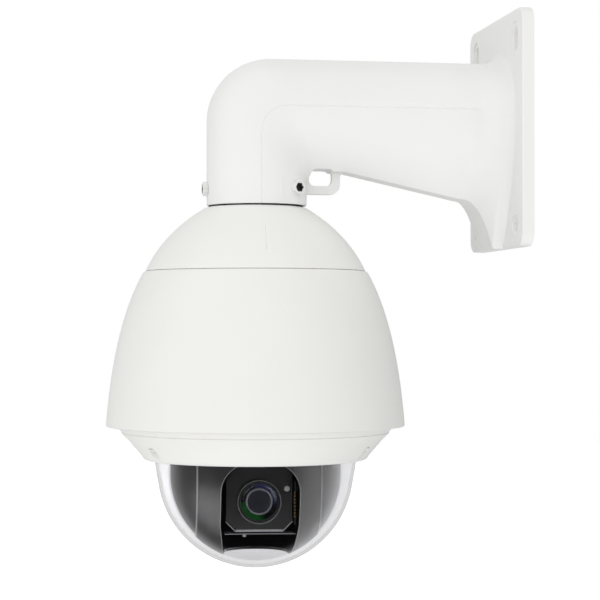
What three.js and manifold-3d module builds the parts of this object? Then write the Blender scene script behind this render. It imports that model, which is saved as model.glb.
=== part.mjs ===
// A wall-mounted pan-tilt-zoom dome camera: a cast wall arm, a sealed dome housing and the
// motorised camera that turns inside its clear bubble.
//
// Millimetres, +Z up. The origin is the centre of the wall plate's back face and +X points into
// the wall. Almost everything is round about the dome's vertical axis, so all parts are modelled
// in a group whose own origin is on that axis, and whose X runs along the arm towards the wall.
import * as THREE from "three";
import { mergeVertices } from "three/addons/utils/BufferGeometryUtils.js";
import Module from "manifold-3d";

const wasm = await Module();
wasm.setup();

// ---------------------------------------------------------------- driving dimensions
const REACH = 194.5; // wall face to the dome's axis
const HOME_YAW = THREE.MathUtils.degToRad(-4.6); // the parked camera's heading, off square to the arm
const GAP = 0.3; // between parts that touch
const HULL_SEGMENTS = 36; // round shells
const TUBE_SEGMENTS = 20; // round the arm
const FINE = 20; // shafts, pulleys and lens parts
const SMALL = 10; // screws and pins

const PLATE = { width: 150, height: 176, thickness: 9, corner: 11 };
const WALL_HOLE = { y: 55, slotZ: 67.5, slotLength: 25, slotR: 4.8, roundZ: -70.5, roundR: 5.3 };
const CABLE_HOLE = { z: 25, r: 16 };

const TUBE_R = 36.8; // the arm's round upper half and its neck
const TUBE_Z = 18.4; // height of the tube's centreline along the arm
const ELBOW_R = 48; // outside of the bend
const ARM_END = REACH - PLATE.thickness + 0.5; // just inside the plate
const SIDE_FLARE = 26; // fillet radius from the arm's sides into the plate
const TOP_FLARE = 12;
const CAST_WALL = 4;
const UNDERSIDE = {
  level: -29.5, slopeStart: 66, slope: -0.2224, curveStart: 154.5, curveEnd: 178, curvePower: 2.4,
};
const FOOT = { half: 11, spread: 9, from: 150, over: 28 }; // half-width of the flat underside
const NECK_Z = -55.4; // bottom rim of the neck
const NECK_BOLT = { z: -43, r: 3, hexAcross: 10, headHeight: 4, flangeR: 6, flangeHeight: 0.6 };
const NECK_BOLT_AZIMUTHS = { left: 180, front: -47, rear: 47 };
const NECK_PAD = { r: 38, seat: 37.3, halfWidth: 10, top: -36, spotR: 6.6 };

const CAP = { top: -57, seam: -104, topR: 37, seamR: 82.2, bulgeR: 68.8, bulgeZ: -75.2, wall: 3.2 };
const SHIELD = {
  top: -104.6, bottom: -220, topR: 83.6, bottomR: 111.6, bulgeR: 105.7, bulgeZ: -143, wall: 2.6,
};
const RING = { top: -219, bottom: -245, mouthR: 77, shelfZ: -242 };
const RING_SCREW = { r: 91, azimuths: [-154, -34, 86], pocketR: 5.5, ceiling: -231 };
const BUBBLE = {
  z: -252.2, r: 73.3, wall: 2.5, tangentZ: -262, neckR: 76, flangeR: 81.5, flangeZ: -240.5,
};

const BALL = { z: -255.6, r: 64.9, wall: 2, top: -209.3, mouthR: 24, bandHalf: 45 };
const SLOT = { half: 28, bottomHalf: 24, taperZ: -290, topZ: -243.5, cornerR: 21.5 };

const TILT_Z = -262.5; // height of the tilt axis
const LENS_Z = -272.8; // height of the optical axis
const FACE_Y = -41; // front of the face plate
const FACE_PLATE = {
  half: 24.2, low: -294.4, high: -240, chamfer: 7, topChamfer: 3, thickness: 1.5, bore: 16, hole: 1.4,
};
const FACE_SCREW_AT = [20, -263.8]; // x and z
const YOKE_ARM = { inner: 31, outer: 33.5 };
const TILT_MOTOR_Z = -226;
const TILT_PULLEY_R = 15;
const TILT_PINION_R = 5;
const PAN_PULLEY_R = 33;
const PAN_PINION_R = 6.6;
const PAN_MOTOR_X = 58; // motor shaft to the dome's axis
const FAN_X = -60;
const CHASSIS = { top: -178, bottom: -181, r: 92, post: 66 };
const BELT = 1.4;

// ---------------------------------------------------------------- materials
const finish = (color, roughness, metalness = 0) =>
  new THREE.MeshStandardMaterial({ color, roughness, metalness });
const WHITE_PAINT = finish(0xe9e9e6, 0.45);
const BLACK_PLASTIC = finish(0x1b1c1d, 0.35);
const BLACK_METAL = finish(0x232425, 0.4, 0.6);
const CLEAR_PLASTIC = finish(0xf4f6f7, 0.05);
const RUBBER = finish(0x101010, 0.8);
const STEEL = finish(0xb9bbbd, 0.3, 1);
const ALUMINIUM = finish(0xa9adb0, 0.45, 1);
const BRASS = finish(0xb89a55, 0.35, 1);
const GLASS = finish(0x24303c, 0.03);
const BOARD = finish(0x1f5a3a, 0.5);

// ---------------------------------------------------------------- solids
function toSolid(geometry) {
  const flat = geometry.index ? geometry.toNonIndexed() : geometry;
  const bare = new THREE.BufferGeometry();
  bare.setAttribute("position", flat.getAttribute("position"));
  const merged = mergeVertices(bare, 1e-4);
  const kept = [];
  for (let i = 0; i < merged.index.count; i += 3) {
    const [a, b, c] = [0, 1, 2].map((k) => merged.index.getX(i + k));
    if (a !== b && b !== c && c !== a) kept.push(a, b, c);
  }
  const build = (triangles) =>
    new wasm.Manifold(
      new wasm.Mesh({
        numProp: 3,
        vertProperties: merged.attributes.position.array,
        triVerts: new Uint32Array(triangles),
      }),
    );
  const solid = build(kept);
  if (solid.volume() > 0) return solid;
  for (let i = 0; i < kept.length; i += 3) [kept[i], kept[i + 1]] = [kept[i + 1], kept[i]];
  return build(kept);
}

function toGeometry(solid) {
  const mesh = solid.getMesh();
  const geometry = new THREE.BufferGeometry();
  geometry.setAttribute("position", new THREE.BufferAttribute(mesh.vertProperties, 3));
  geometry.setIndex(new THREE.BufferAttribute(mesh.triVerts, 1));
  const flat = geometry.toNonIndexed();
  flat.computeVertexNormals();
  return flat;
}

const join = (first, ...rest) => rest.reduce((sum, solid) => sum.add(solid), first);
const cut = (first, ...rest) => rest.reduce((left, solid) => left.subtract(solid), first);

// A solid of revolution about Z from [radius, z] pairs that close on themselves or end on the axis.
function revolve(profile, segments = HULL_SEGMENTS) {
  const onAxis = profile[0][0] === 0;
  const loop = onAxis ? profile : [...profile, profile[0]];
  const points = loop.map(([r, z]) => new THREE.Vector2(r, z));
  return toSolid(new THREE.LatheGeometry(points, segments).rotateX(Math.PI / 2));
}

const tube = (outer, inner, low, high, segments = FINE) =>
  revolve([[inner, low], [outer, low], [outer, high], [inner, high]], segments);

const disc = (r, low, high, segments = FINE) =>
  revolve([[0, low], [r, low], [r, high], [0, high]], segments);

// A box from its low and high limits on each axis.
function block([x0, x1], [y0, y1], [z0, z1]) {
  const box = new THREE.BoxGeometry(x1 - x0, y1 - y0, z1 - z0);
  return toSolid(box.translate((x0 + x1) / 2, (y0 + y1) / 2, (z0 + z1) / 2));
}

// A rod along X or Y, centred on the other two coordinates.
function rod(axis, r, [from, to], centre, segments = FINE) {
  const cylinder = new THREE.CylinderGeometry(r, r, to - from, segments);
  if (axis === "x") cylinder.rotateZ(-Math.PI / 2).translate((from + to) / 2, centre[0], centre[1]);
  else cylinder.translate(centre[0], (from + to) / 2, centre[1]);
  return toSolid(cylinder);
}

// An upright rod at (x, y).
function post(r, x, y, low, high, segments = SMALL) {
  const cylinder = new THREE.CylinderGeometry(r, r, high - low, segments);
  return toSolid(cylinder.rotateX(Math.PI / 2).translate(x, y, (low + high) / 2));
}

// A shape drawn in the X-Z plane and extruded from y = near to y = far.
function prism(shape, near, far, curveSegments = 6) {
  const options = { depth: far - near, bevelEnabled: false, curveSegments };
  return toSolid(new THREE.ExtrudeGeometry(shape, options).rotateX(Math.PI / 2).translate(0, far, 0));
}

// A shape drawn in the Y-Z plane and extruded along X.
function slab(shape, near, far, curveSegments = 6) {
  const options = { depth: far - near, bevelEnabled: false, curveSegments };
  const flat = new THREE.ExtrudeGeometry(shape, options);
  return toSolid(flat.rotateX(Math.PI / 2).rotateZ(Math.PI / 2).translate(near, 0, 0));
}

// Loops of equal length, each a list of [x, y, z], skinned in order and closed with flat ends.
function loft(loops) {
  const count = loops[0].length;
  const positions = loops.flat(2);
  const index = [];
  loops.slice(1).forEach((_, s) => {
    for (let i = 0; i < count; i++) {
      const [a, b] = [s * count + i, s * count + ((i + 1) % count)];
      index.push(a, b, b + count, a, b + count, a + count);
    }
  });
  const last = (loops.length - 1) * count;
  for (let i = 1; i < count - 1; i++) index.push(0, i + 1, i, last, last + i, last + i + 1);
  const geometry = new THREE.BufferGeometry();
  geometry.setAttribute("position", new THREE.Float32BufferAttribute(positions, 3));
  geometry.setIndex(index);
  return toSolid(geometry);
}

const turned = (solid, azimuth) =>
  toSolid(toGeometry(solid).rotateZ(THREE.MathUtils.degToRad(azimuth)));

function roundedRectangle(x0, x1, y0, y1, r) {
  const shape = new THREE.Shape();
  shape.absarc(x1 - r, y1 - r, r, 0, Math.PI / 2);
  shape.absarc(x0 + r, y1 - r, r, Math.PI / 2, Math.PI);
  shape.absarc(x0 + r, y0 + r, r, Math.PI, Math.PI * 1.5);
  shape.absarc(x1 - r, y0 + r, r, Math.PI * 1.5, Math.PI * 2);
  return shape;
}

function bezier([r0, z0], [r1, z1], [r2, z2], steps) {
  const curve = new THREE.QuadraticBezierCurve(
    new THREE.Vector2(r0, z0), new THREE.Vector2(r1, z1), new THREE.Vector2(r2, z2));
  return curve.getPoints(steps).map((p) => [p.x, p.y]);
}

function arc(r, centreZ, fromDegrees, toDegrees, steps) {
  return Array.from({ length: steps + 1 }, (_, i) => {
    const a = THREE.MathUtils.degToRad(fromDegrees + ((toDegrees - fromDegrees) * i) / steps);
    return [r * Math.cos(a), centreZ + r * Math.sin(a)];
  });
}

// ---------------------------------------------------------------- the wall arm
// Height of the arm's underside: level by the neck, then sloping, then curving down the plate.
function undersideZ(x) {
  const { level, slopeStart, slope, curveStart, curveEnd, curvePower } = UNDERSIDE;
  if (x <= slopeStart) return level;
  if (x <= curveStart) return level + slope * (x - slopeStart);
  const atCurve = level + slope * (curveStart - slopeStart);
  const footZ = 0.5 - PLATE.height / 2; // just above the plate's lower edge
  const t = Math.min(1, (x - curveStart) / (curveEnd - curveStart));
  return atCurve + (footZ - atCurve) * t ** curvePower;
}

// How far a quarter-round flare that ends on the plate has spread at x.
function flareSpread(x, radius) {
  const t = Math.max(0, Math.min(1, (x - ARM_END + radius) / radius));
  return radius * (1 - Math.sqrt(1 - t * t));
}

// One upright section across the arm: a round top, then walls that draw in to a narrow flat
// underside. inset is the thickness of the wall round the cavity.
function armSection(x, inset) {
  const topSteps = TUBE_SEGMENTS / 2;
  const sideSteps = 4;
  const half = TUBE_R + flareSpread(x, SIDE_FLARE) - inset;
  const rise = TUBE_R + flareSpread(x, TOP_FLARE) - inset;
  const widening = THREE.MathUtils.clamp((x - FOOT.from) / FOOT.over, 0, 1);
  const foot = FOOT.half + FOOT.spread * widening - inset / 2;
  const drop = TUBE_Z - undersideZ(x) - inset;
  const top = Array.from({ length: topSteps + 1 }, (_, i) => {
    const a = (Math.PI * i) / topSteps;
    return [x, half * Math.cos(a), TUBE_Z + rise * Math.sin(a)];
  });
  const side = Array.from({ length: sideSteps }, (_, i) => {
    const t = (i + 1) / sideSteps;
    return [x, half - (half - foot) * t ** 2.2, TUBE_Z - drop * t];
  });
  return [...top, ...side.map(([, y, z]) => [x, -y, z]), ...side.reverse()];
}

// The bent tube: upright neck, quarter bend and horizontal arm, all inset by the same amount.
function bentTube(inset, bottom, stations) {
  const r = TUBE_R - inset;
  const pivotX = ELBOW_R - TUBE_R;
  const pivotZ = TUBE_Z - pivotX;
  const neck = disc(r, bottom, pivotZ + 0.05, TUBE_SEGMENTS);
  // The bend is the part of the tube's circle beyond the pivot, turned about the pivot.
  const quarter = TUBE_SEGMENTS / 4;
  const reach = Math.acos(-pivotX / r);
  const halfCircle = Array.from({ length: 2 * quarter + 1 }, (_, i) => (Math.PI / 2) * (i / quarter - 1));
  const circle = [-reach, ...halfCircle, reach].map(
    (a) => new THREE.Vector2(Math.max(0, pivotX + r * Math.cos(a)), r * Math.sin(a)));
  const barrel = toSolid(new THREE.LatheGeometry(circle, 24).translate(pivotX, 0, pivotZ));
  const corner = block([-60, pivotX + 0.05], [-60, 60], [pivotZ - 0.05, 80]);
  return join(neck, barrel.intersect(corner), loft(stations.map((x) => armSection(x, inset))));
}

function wallPlate() {
  const { width, height, thickness, corner } = PLATE;
  const outline = roundedRectangle(-width / 2, width / 2, -height / 2, height / 2, corner);
  return slab(outline, REACH - thickness, REACH, 3);
}

function wallHoles() {
  const { y, slotZ, slotLength, slotR, roundZ, roundR } = WALL_HOLE;
  const through = [REACH - PLATE.thickness - 5, REACH + 1];
  return [-y, y].flatMap((side) => {
    const slot = roundedRectangle(
      side - slotR, side + slotR, slotZ - slotLength / 2, slotZ + slotLength / 2, slotR);
    return [slab(slot, ...through, 3), rod("x", roundR, through, [side, roundZ], 12)];
  });
}

// The eye for a safety lanyard, under the arm beside the neck.
function lanyardEye() {
  const halfThickness = 3;
  const armHalf = 30; // the eye also clips the arm's lower edge
  const outside = roundedRectangle(30, 64, -46.4, -20, 7);
  const eye = roundedRectangle(40, 57.8, -39.9, -28, 4.5);
  return {
    lug: prism(outside, -halfThickness, halfThickness, 2),
    eye: prism(eye, -armHalf, armHalf, 2),
  };
}

// A pad raised on the neck for a bolt, and what is cut from it: the bolt's hole and its flat seat.
function neckPad(azimuth) {
  const { r, seat, halfWidth, top, spotR } = NECK_PAD;
  const sector = block([TUBE_R - 6, r + 2], [-halfWidth, halfWidth], [NECK_Z - 1, top]);
  const pad = disc(r, NECK_Z, top, HULL_SEGMENTS).intersect(sector);
  const hole = rod("x", NECK_BOLT.r + GAP, [TUBE_R - 12, r + 5], [0, NECK_BOLT.z]);
  const spot = rod("x", spotR, [seat, r + 5], [0, NECK_BOLT.z]);
  return { pad: turned(pad, azimuth), hollow: turned(join(hole, spot), azimuth) };
}

function wallArm() {
  const outerStations = [8.1, 66, 154.5, 162, 168, 173, 177, 180.5, 183.5, ARM_END];
  const innerStations = [8.1, 66, 154.5, 166, 173, 180];
  const outer = bentTube(0, NECK_Z, outerStations);
  const cavity = bentTube(CAST_WALL, NECK_Z - 1, innerStations);
  const { lug, eye } = lanyardEye();
  const pads = Object.values(NECK_BOLT_AZIMUTHS).map(neckPad);
  const cableHole = rod("x", CABLE_HOLE.r, [REACH - 20, REACH + 1], [0, CABLE_HOLE.z]);
  const body = join(outer, wallPlate(), lug, ...pads.map((p) => p.pad));
  return cut(body, cavity, eye, cableHole, ...wallHoles(), ...pads.map((p) => p.hollow));
}

// A hex-head screw with a washer face, its head dished and its shank through the neck's wall.
function neckBolt(azimuth) {
  const { z, r, hexAcross, headHeight, flangeR, flangeHeight } = NECK_BOLT;
  const seat = NECK_PAD.seat + GAP;
  const top = seat + flangeHeight + headHeight;
  const shank = rod("x", r, [TUBE_R - CAST_WALL + GAP, seat + 0.1], [0, z]);
  const flange = rod("x", flangeR, [seat, seat + flangeHeight], [0, z]);
  const head = rod("x", hexAcross / Math.sqrt(3), [seat, top], [0, z], 6);
  const dish = rod("x", 3, [top - 1, top + 2], [0, z], SMALL);
  return turned(cut(join(shank, flange, head), dish), azimuth);
}

// ---------------------------------------------------------------- the dome's housing
function neckAdapter() {
  const collar = TUBE_R - CAST_WALL - 1;
  return revolve([
    [24, -68], [28, -68], [28, CAP.top + GAP], [collar, CAP.top + GAP], [collar, -24], [24, -24],
  ], FINE);
}

const adapterNut = () => cut(disc(36, -66, CAP.top - 4 - GAP, 6), disc(28 + GAP, -67, -60));
const neckSeal = () => tube(35.4, TUBE_R - CAST_WALL, CAP.top + GAP, NECK_Z - GAP);

function topCap() {
  const { top, seam, topR, seamR, bulgeR, bulgeZ, wall } = CAP;
  const outside = bezier([topR, top], [bulgeR, bulgeZ], [seamR, seam], 6);
  const inside = bezier([seamR - wall, seam], [bulgeR - 2.2, bulgeZ - 2.8], [topR - 1, top - 4], 3);
  return revolve([[28 + GAP, top], ...outside, ...inside, [28 + GAP, top - 4]]);
}

const capSeal = () => tube(77.2, 75.8, -103.7, -102);

function sunShield() {
  const { top, bottom, topR, bottomR, bulgeR, bulgeZ, wall } = SHIELD;
  const outside = bezier([topR, top], [bulgeR, bulgeZ], [bottomR, bottom + 1], 6);
  const lip = [[bottomR - 1, bottom], [104.4, bottom], [104.4, bottom + 2.5]];
  const inside = bezier(
    [bottomR - wall, bottom + 3.5], [bulgeR - wall, bulgeZ - 0.5], [topR - wall + 0.2, top], 4);
  return revolve([...outside, ...lip, ...inside]);
}

function innerHousing() {
  const wall = 2.5;
  const side = [[74, -99], [75, -105], [86.5, -122], [95, -152], [100, -178], [100, -213.5]];
  const inside = [...side].reverse().map(([r, z]) => [r - wall, Math.min(z, -102)]);
  const can = revolve([
    [12, -99], ...side, [103, -213.5], [103, -218.6], [84, -218.6], [84, -215], [97.5, -215],
    ...inside.slice(1), [12, -102],
  ], 32);
  return cut(can, ...ringScrewPlaces().map(([x, y]) => post(2.4, x, y, -222, -212, 8)));
}

function ringScrewPlaces() {
  return RING_SCREW.azimuths.map((azimuth) => {
    const a = THREE.MathUtils.degToRad(azimuth);
    return [RING_SCREW.r * Math.cos(a), RING_SCREW.r * Math.sin(a)];
  });
}

function trimRing() {
  const { top, bottom, mouthR, shelfZ } = RING;
  const ring = revolve([
    [mouthR, bottom], [81, bottom], [84.6, bottom + 3.1], [88.1, -238.2], [94.1, -230.7],
    [103.4, -221.4], [103.4, top], [98, top], [90, -222], [82, -234], [82, shelfZ], [mouthR, shelfZ],
  ]);
  const holes = ringScrewPlaces().flatMap(([x, y]) => [
    post(RING_SCREW.pocketR, x, y, bottom - 1, RING_SCREW.ceiling, SMALL),
    post(2.4, x, y, RING_SCREW.ceiling - 1, top + 1, 8),
  ]);
  return cut(ring, ...holes);
}

function ringScrew([x, y]) {
  const seat = RING_SCREW.ceiling - GAP;
  const head = cut(post(3.8, x, y, seat - 2.6, seat), post(1.6, x, y, seat - 3, seat - 1.2, 6));
  return join(head, post(2, x, y, seat - 0.1, -214.5, 8));
}

function bubble() {
  const { z, r, wall, tangentZ, neckR, flangeR, flangeZ } = BUBBLE;
  const start = THREE.MathUtils.radToDeg(Math.asin((tangentZ - z) / r));
  const outside = arc(r, z, -90, start, 7);
  const inside = arc(r - wall, z, start, -90, 5);
  outside[0][0] = 0;
  inside[5][0] = 0;
  const top = flangeZ + 2.4;
  return revolve([
    ...outside, [neckR, flangeZ], [flangeR, flangeZ], [flangeR, top], [neckR - wall, top], ...inside,
  ]);
}

const bubbleSeal = () => tube(81.3, 77.4, RING.shelfZ + GAP, BUBBLE.flangeZ - GAP, 28);
const bubbleRetainer = () => tube(81.3, 67, BUBBLE.flangeZ + 2.7, BUBBLE.flangeZ + 5, 28);

// ---------------------------------------------------------------- fixed works in the housing
const polar = (r, azimuth) => {
  const a = THREE.MathUtils.degToRad(azimuth);
  return [r * Math.cos(a), r * Math.sin(a)];
};
const POST_PLACES = [90, 210, 330].map((azimuth) => polar(CHASSIS.post, azimuth));
const postHoles = (low, high) => POST_PLACES.map(([x, y]) => post(4, x, y, low, high, 10));

function chassisPlate() {
  const { top, bottom, r } = CHASSIS;
  const plate = join(disc(r, bottom, top, 28), tube(26, 20, top - 0.1, -165));
  const bearingSeat = disc(22.6, -179.6, -160);
  const shaftHole = disc(14.6, bottom - 1, top + 1);
  const motorHole = post(6, PAN_MOTOR_X, 0, bottom - 1, top + 1);
  const fanHole = post(17, FAN_X, 0, bottom - 1, top + 1, 20);
  return cut(plate, bearingSeat, shaftHole, motorHole, fanHole);
}

const chassisPost = ([x, y]) => post(3.5, x, y, CHASSIS.top + GAP, -102 - GAP, 10);

function powerBoard() {
  const board = join(
    disc(70, -117.6, -116, 28),
    block([-34, -8], [14, 40], [-116.1, -106]),
    post(7, 30, 22, -116.1, -105.5),
    post(7, 46, 4, -116.1, -105.5),
    block([10, 34], [-44, -20], [-116.1, -108]),
  );
  return cut(board, disc(10, -119, -114, SMALL), ...postHoles(-119, -104));
}

function mainBoard() {
  const board = join(
    disc(76, -131.6, -130, 28),
    block([-16, 12], [22, 50], [-130.1, -126.6]),
    block([28, 46], [-30, -12], [-130.1, -127.4]),
    block([-58, -40], [-16, 16], [-130.1, -122]),
  );
  return cut(board, disc(10, -133, -128, SMALL), ...postHoles(-133, -120));
}

function panMotor() {
  const low = CHASSIS.top + GAP;
  const can = join(
    post(17.5, PAN_MOTOR_X, 0, low, -155, FINE),
    block([PAN_MOTOR_X - 6, PAN_MOTOR_X + 6], [-24, 24], [low, low + 2]),
  );
  return cut(can, post(3.2, PAN_MOTOR_X, 0, low - 1, -164));
}

function panPinion() {
  return join(
    post(PAN_PINION_R - GAP, PAN_MOTOR_X, 0, -192, -184, FINE),
    post(2.4, PAN_MOTOR_X, 0, -184.1, -166),
  );
}

const panBearingOuter = () => tube(22.2, 16, -179.3, -167);
const panBearingInner = () => tube(15.2, 10.1, -179.3, -167);

// A belt round two pulleys on one line: radii a at the origin and b at distance d.
function beltShape(a, b, d) {
  const lean = Math.acos((a - b) / d);
  const loop = (path, extra) => {
    path.absarc(0, 0, a + extra, lean, Math.PI * 2 - lean);
    path.absarc(d, 0, b + extra, -lean, lean);
    return path;
  };
  const shape = loop(new THREE.Shape(), BELT);
  shape.holes.push(loop(new THREE.Path(), 0));
  return shape;
}

function panBelt() {
  const shape = beltShape(PAN_PULLEY_R, PAN_PINION_R, PAN_MOTOR_X);
  const options = { depth: 6, bevelEnabled: false, curveSegments: 12 };
  return toSolid(new THREE.ExtrudeGeometry(shape, options).translate(0, 0, -191));
}

function slipRingStator() {
  const flange = disc(25.6, -164.7, -162.6);
  return cut(join(flange, disc(13, -162.7, -140)), disc(5.6, -166, -143));
}

function fanFrame() {
  const half = 20;
  const low = CHASSIS.top + GAP;
  const outline = new THREE.Shape();
  outline.moveTo(-half, -half).lineTo(half, -half).lineTo(half, half).lineTo(-half, half).closePath();
  outline.holes.push(new THREE.Path().absarc(0, 0, 18.6, 0, Math.PI * 2));
  const options = { depth: 10, bevelEnabled: false, curveSegments: 16 };
  const shell = toSolid(new THREE.ExtrudeGeometry(outline, options).translate(FAN_X, 0, low));
  const spokes = [0, 120, 240].map((azimuth) => {
    const spoke = toGeometry(block([0, 19.5], [-1, 1], [low, low + 1.2]));
    return toSolid(spoke.rotateZ(THREE.MathUtils.degToRad(azimuth)).translate(FAN_X, 0, 0));
  });
  return join(shell, post(7, FAN_X, 0, low, low + 1.2), ...spokes);
}

function fanRotor() {
  const [low, high] = [-176, -168.4];
  const blades = Array.from({ length: 7 }, (_, i) => {
    const blade = new THREE.BoxGeometry(10.5, 1, high - low - 1).rotateX(0.6);
    blade.translate(12.3, 0, (low + high) / 2).rotateZ((Math.PI * 2 * i) / 7);
    return toSolid(blade.translate(FAN_X, 0, 0));
  });
  return join(post(8, FAN_X, 0, low, high, 20), ...blades);
}

function heaterBlock() {
  const top = CHASSIS.bottom - GAP;
  const fins = [-15, -9, -3, 3, 9, 15].map((y) => block([-78, -43], [y - 1, y + 1], [top - 11, top - 2.9]));
  const base = cut(block([-78, -43], [-18, 18], [top - 3, top]), post(14, FAN_X, 0, top - 20, top + 1, 20));
  return join(base, ...fins);
}

// ---------------------------------------------------------------- the pan unit
function panShaft() {
  return revolve([
    [6.2, -167.3], [9.7, -167.3], [9.7, -202.7], [24, -202.7], [24, -205.7], [6.2, -205.7],
  ], FINE);
}

function panPulley() {
  const rim = PAN_PULLEY_R - GAP;
  return revolve([
    [10, -184.4], [rim, -184.4], [rim, -191.6], [14, -191.6], [14, -193], [10, -193],
  ], 24);
}

const slipRingRotor = () =>
  revolve([[0, -167], [9, -167], [9, -165.6], [4.9, -165.6], [4.9, -144], [0, -144]], 24);

function yoke() {
  const [low, high] = [-209, -206];
  const arms = [-1, 1].map((side) => {
    const outline = new THREE.Shape();
    outline.moveTo(-16, low + 0.1).lineTo(-16, -240).lineTo(-11, TILT_Z);
    outline.absarc(0, TILT_Z, 11, Math.PI, Math.PI * 2).lineTo(16, -240).lineTo(16, low + 0.1).closePath();
    const [near, far] = [side * YOKE_ARM.inner, side * YOKE_ARM.outer].sort((a, b) => a - b);
    return cut(slab(outline, near, far), rod("x", 7.4, [near - 1, far + 1], [0, TILT_Z], 24));
  });
  return cut(join(disc(62, low, high, 32), ...arms), disc(6.2, low - 1, high + 1, SMALL));
}

// The ball-shaped cover, as a shell of revolution before it is split.
function ballShell(r) {
  const { z, wall, top, mouthR } = BALL;
  const edge = THREE.MathUtils.radToDeg(-Math.acos(mouthR / r));
  const innerEdge = THREE.MathUtils.radToDeg(-Math.acos(mouthR / (r - wall)));
  return revolve([
    ...arc(r, z, edge, 0, 5), [r, top], [r - wall, top], ...arc(r - wall, z, 0, innerEdge, 4),
  ]);
}

function slotCutter() {
  const { half, bottomHalf, taperZ, topZ, cornerR } = SLOT;
  const opening = new THREE.Shape();
  opening.moveTo(-bottomHalf, -330).lineTo(-bottomHalf, -318).lineTo(-half, taperZ);
  opening.absarc(-half + cornerR, topZ - cornerR, cornerR, Math.PI, Math.PI / 2, true);
  opening.absarc(half - cornerR, topZ - cornerR, cornerR, Math.PI / 2, 0, true);
  opening.lineTo(half, taperZ).lineTo(bottomHalf, -318).lineTo(bottomHalf, -330).closePath();
  return prism(opening, -90, 0, 5);
}

function linerBand() {
  const half = BALL.bandHalf;
  const band = ballShell(BALL.r).intersect(block([-half, half], [-90, 90], [-330, -200]));
  return cut(band, slotCutter());
}

function linerCheek(side) {
  const near = BALL.bandHalf + 0.8;
  const [low, high] = side < 0 ? [-90, -near] : [near, 90];
  return ballShell(BALL.r - 1.2).intersect(block([low, high], [-90, 90], [-330, -200]));
}

const tiltBearing = (side) => {
  const span = side < 0 ? [-34, -30.5] : [30.5, 34];
  const centre = [0, TILT_Z];
  return cut(rod("x", 7, span, centre, 24), rod("x", 4.4, [span[0] - 1, span[1] + 1], centre, 24));
};

function tiltMotor() {
  const body = rod("x", 14, [-56, -42], [0, TILT_MOTOR_Z]);
  const stubs = [-13, 13].map((y) => rod("x", 2, [-45, -YOKE_ARM.outer - GAP], [y, TILT_MOTOR_Z + 6], 12));
  const ears = block([-43.5, -42], [-15.5, 15.5], [TILT_MOTOR_Z + 2, TILT_MOTOR_Z + 9]);
  return cut(join(body, ears, ...stubs), rod("x", 2, [-50, -41], [0, TILT_MOTOR_Z], SMALL));
}

function tiltBelt() {
  const shape = beltShape(TILT_PULLEY_R, TILT_PINION_R, TILT_MOTOR_Z - TILT_Z);
  const options = { depth: 3.4, bevelEnabled: false, curveSegments: 9 };
  const flat = new THREE.ExtrudeGeometry(shape, options).rotateY(-Math.PI / 2);
  return toSolid(flat.translate(-35.5, 0, TILT_Z));
}

// ---------------------------------------------------------------- the tilting camera
function cameraCradle() {
  const [low, back] = [-296.2, 28.7];
  const backPlate = block([-27.1, 27.1], [27.2, back], [low, -241]);
  const sides = [-1, 1].map((side) => {
    const [near, far] = [side * 25.6, side * 27.1].sort((a, b) => a - b);
    return block([near, far], [-14, back], [-281, -245]);
  });
  const tray = block([-25, 25], [-35, back], [low, low + 1.3]);
  const trunnions = [rod("x", 4.1, [-40, -26], [0, TILT_Z], 24), rod("x", 4.1, [26, 35], [0, TILT_Z], 24)];
  return join(backPlate, tray, ...sides, ...trunnions);
}

const tiltPulley = () =>
  cut(
    rod("x", TILT_PULLEY_R - GAP, [-39.5, -35], [0, TILT_Z]),
    rod("x", 4.3, [-41, -34], [0, TILT_Z], 24),
  );

const tiltPinion = () =>
  join(
    rod("x", TILT_PINION_R - GAP, [-39.5, -35], [0, TILT_MOTOR_Z], 24),
    rod("x", 1.5, [-48, -39.4], [0, TILT_MOTOR_Z], 12),
  );

function cameraBlock() {
  const bore = rod("y", 11.5, [-31, 18], [0, LENS_Z]);
  const sensorWindow = block([-6, 6], [17, 25], [LENS_Z - 6, LENS_Z + 6]);
  const filterSlot = block([-8, 20.6], [12.4, 14.4], [LENS_Z - 7.4, LENS_Z + 7.4]);
  return cut(block([-21.8, 21.8], [-30, 24], [-292, -240]), bore, sensorWindow, filterSlot);
}

const lensBarrel = () =>
  cut(rod("y", 14.6, [-43, -30.3], [0, LENS_Z]), rod("y", 12.3, [-44, -30], [0, LENS_Z]));

const lensRing = () =>
  cut(rod("y", 15.4, [-45, -43.3], [0, LENS_Z]), rod("y", 12.9, [-46, -42], [0, LENS_Z]));

// A lens about the Y axis: flat back, domed front.
function lens(r, back, edge, front) {
  const steps = 4;
  const dome = Array.from({ length: steps + 1 }, (_, i) => {
    const share = i / steps;
    return [r * (1 - share), edge + (front - edge) * (1 - (1 - share) ** 2)];
  });
  const points = [[0, back], [r, back], ...dome].map(([x, y]) => new THREE.Vector2(x, y));
  return toSolid(new THREE.LatheGeometry(points, FINE).translate(0, 0, LENS_Z));
}

// A moving lens group: a short sleeve with a hollow at each end of its glass.
function lensCell(r, from, to) {
  const hollow = (a, b) => rod("y", r - 3, [a, b], [0, LENS_Z]);
  return cut(rod("y", r, [from, to], [0, LENS_Z]), hollow(from - 1, from + 1), hollow(to - 1, to + 1));
}

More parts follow.
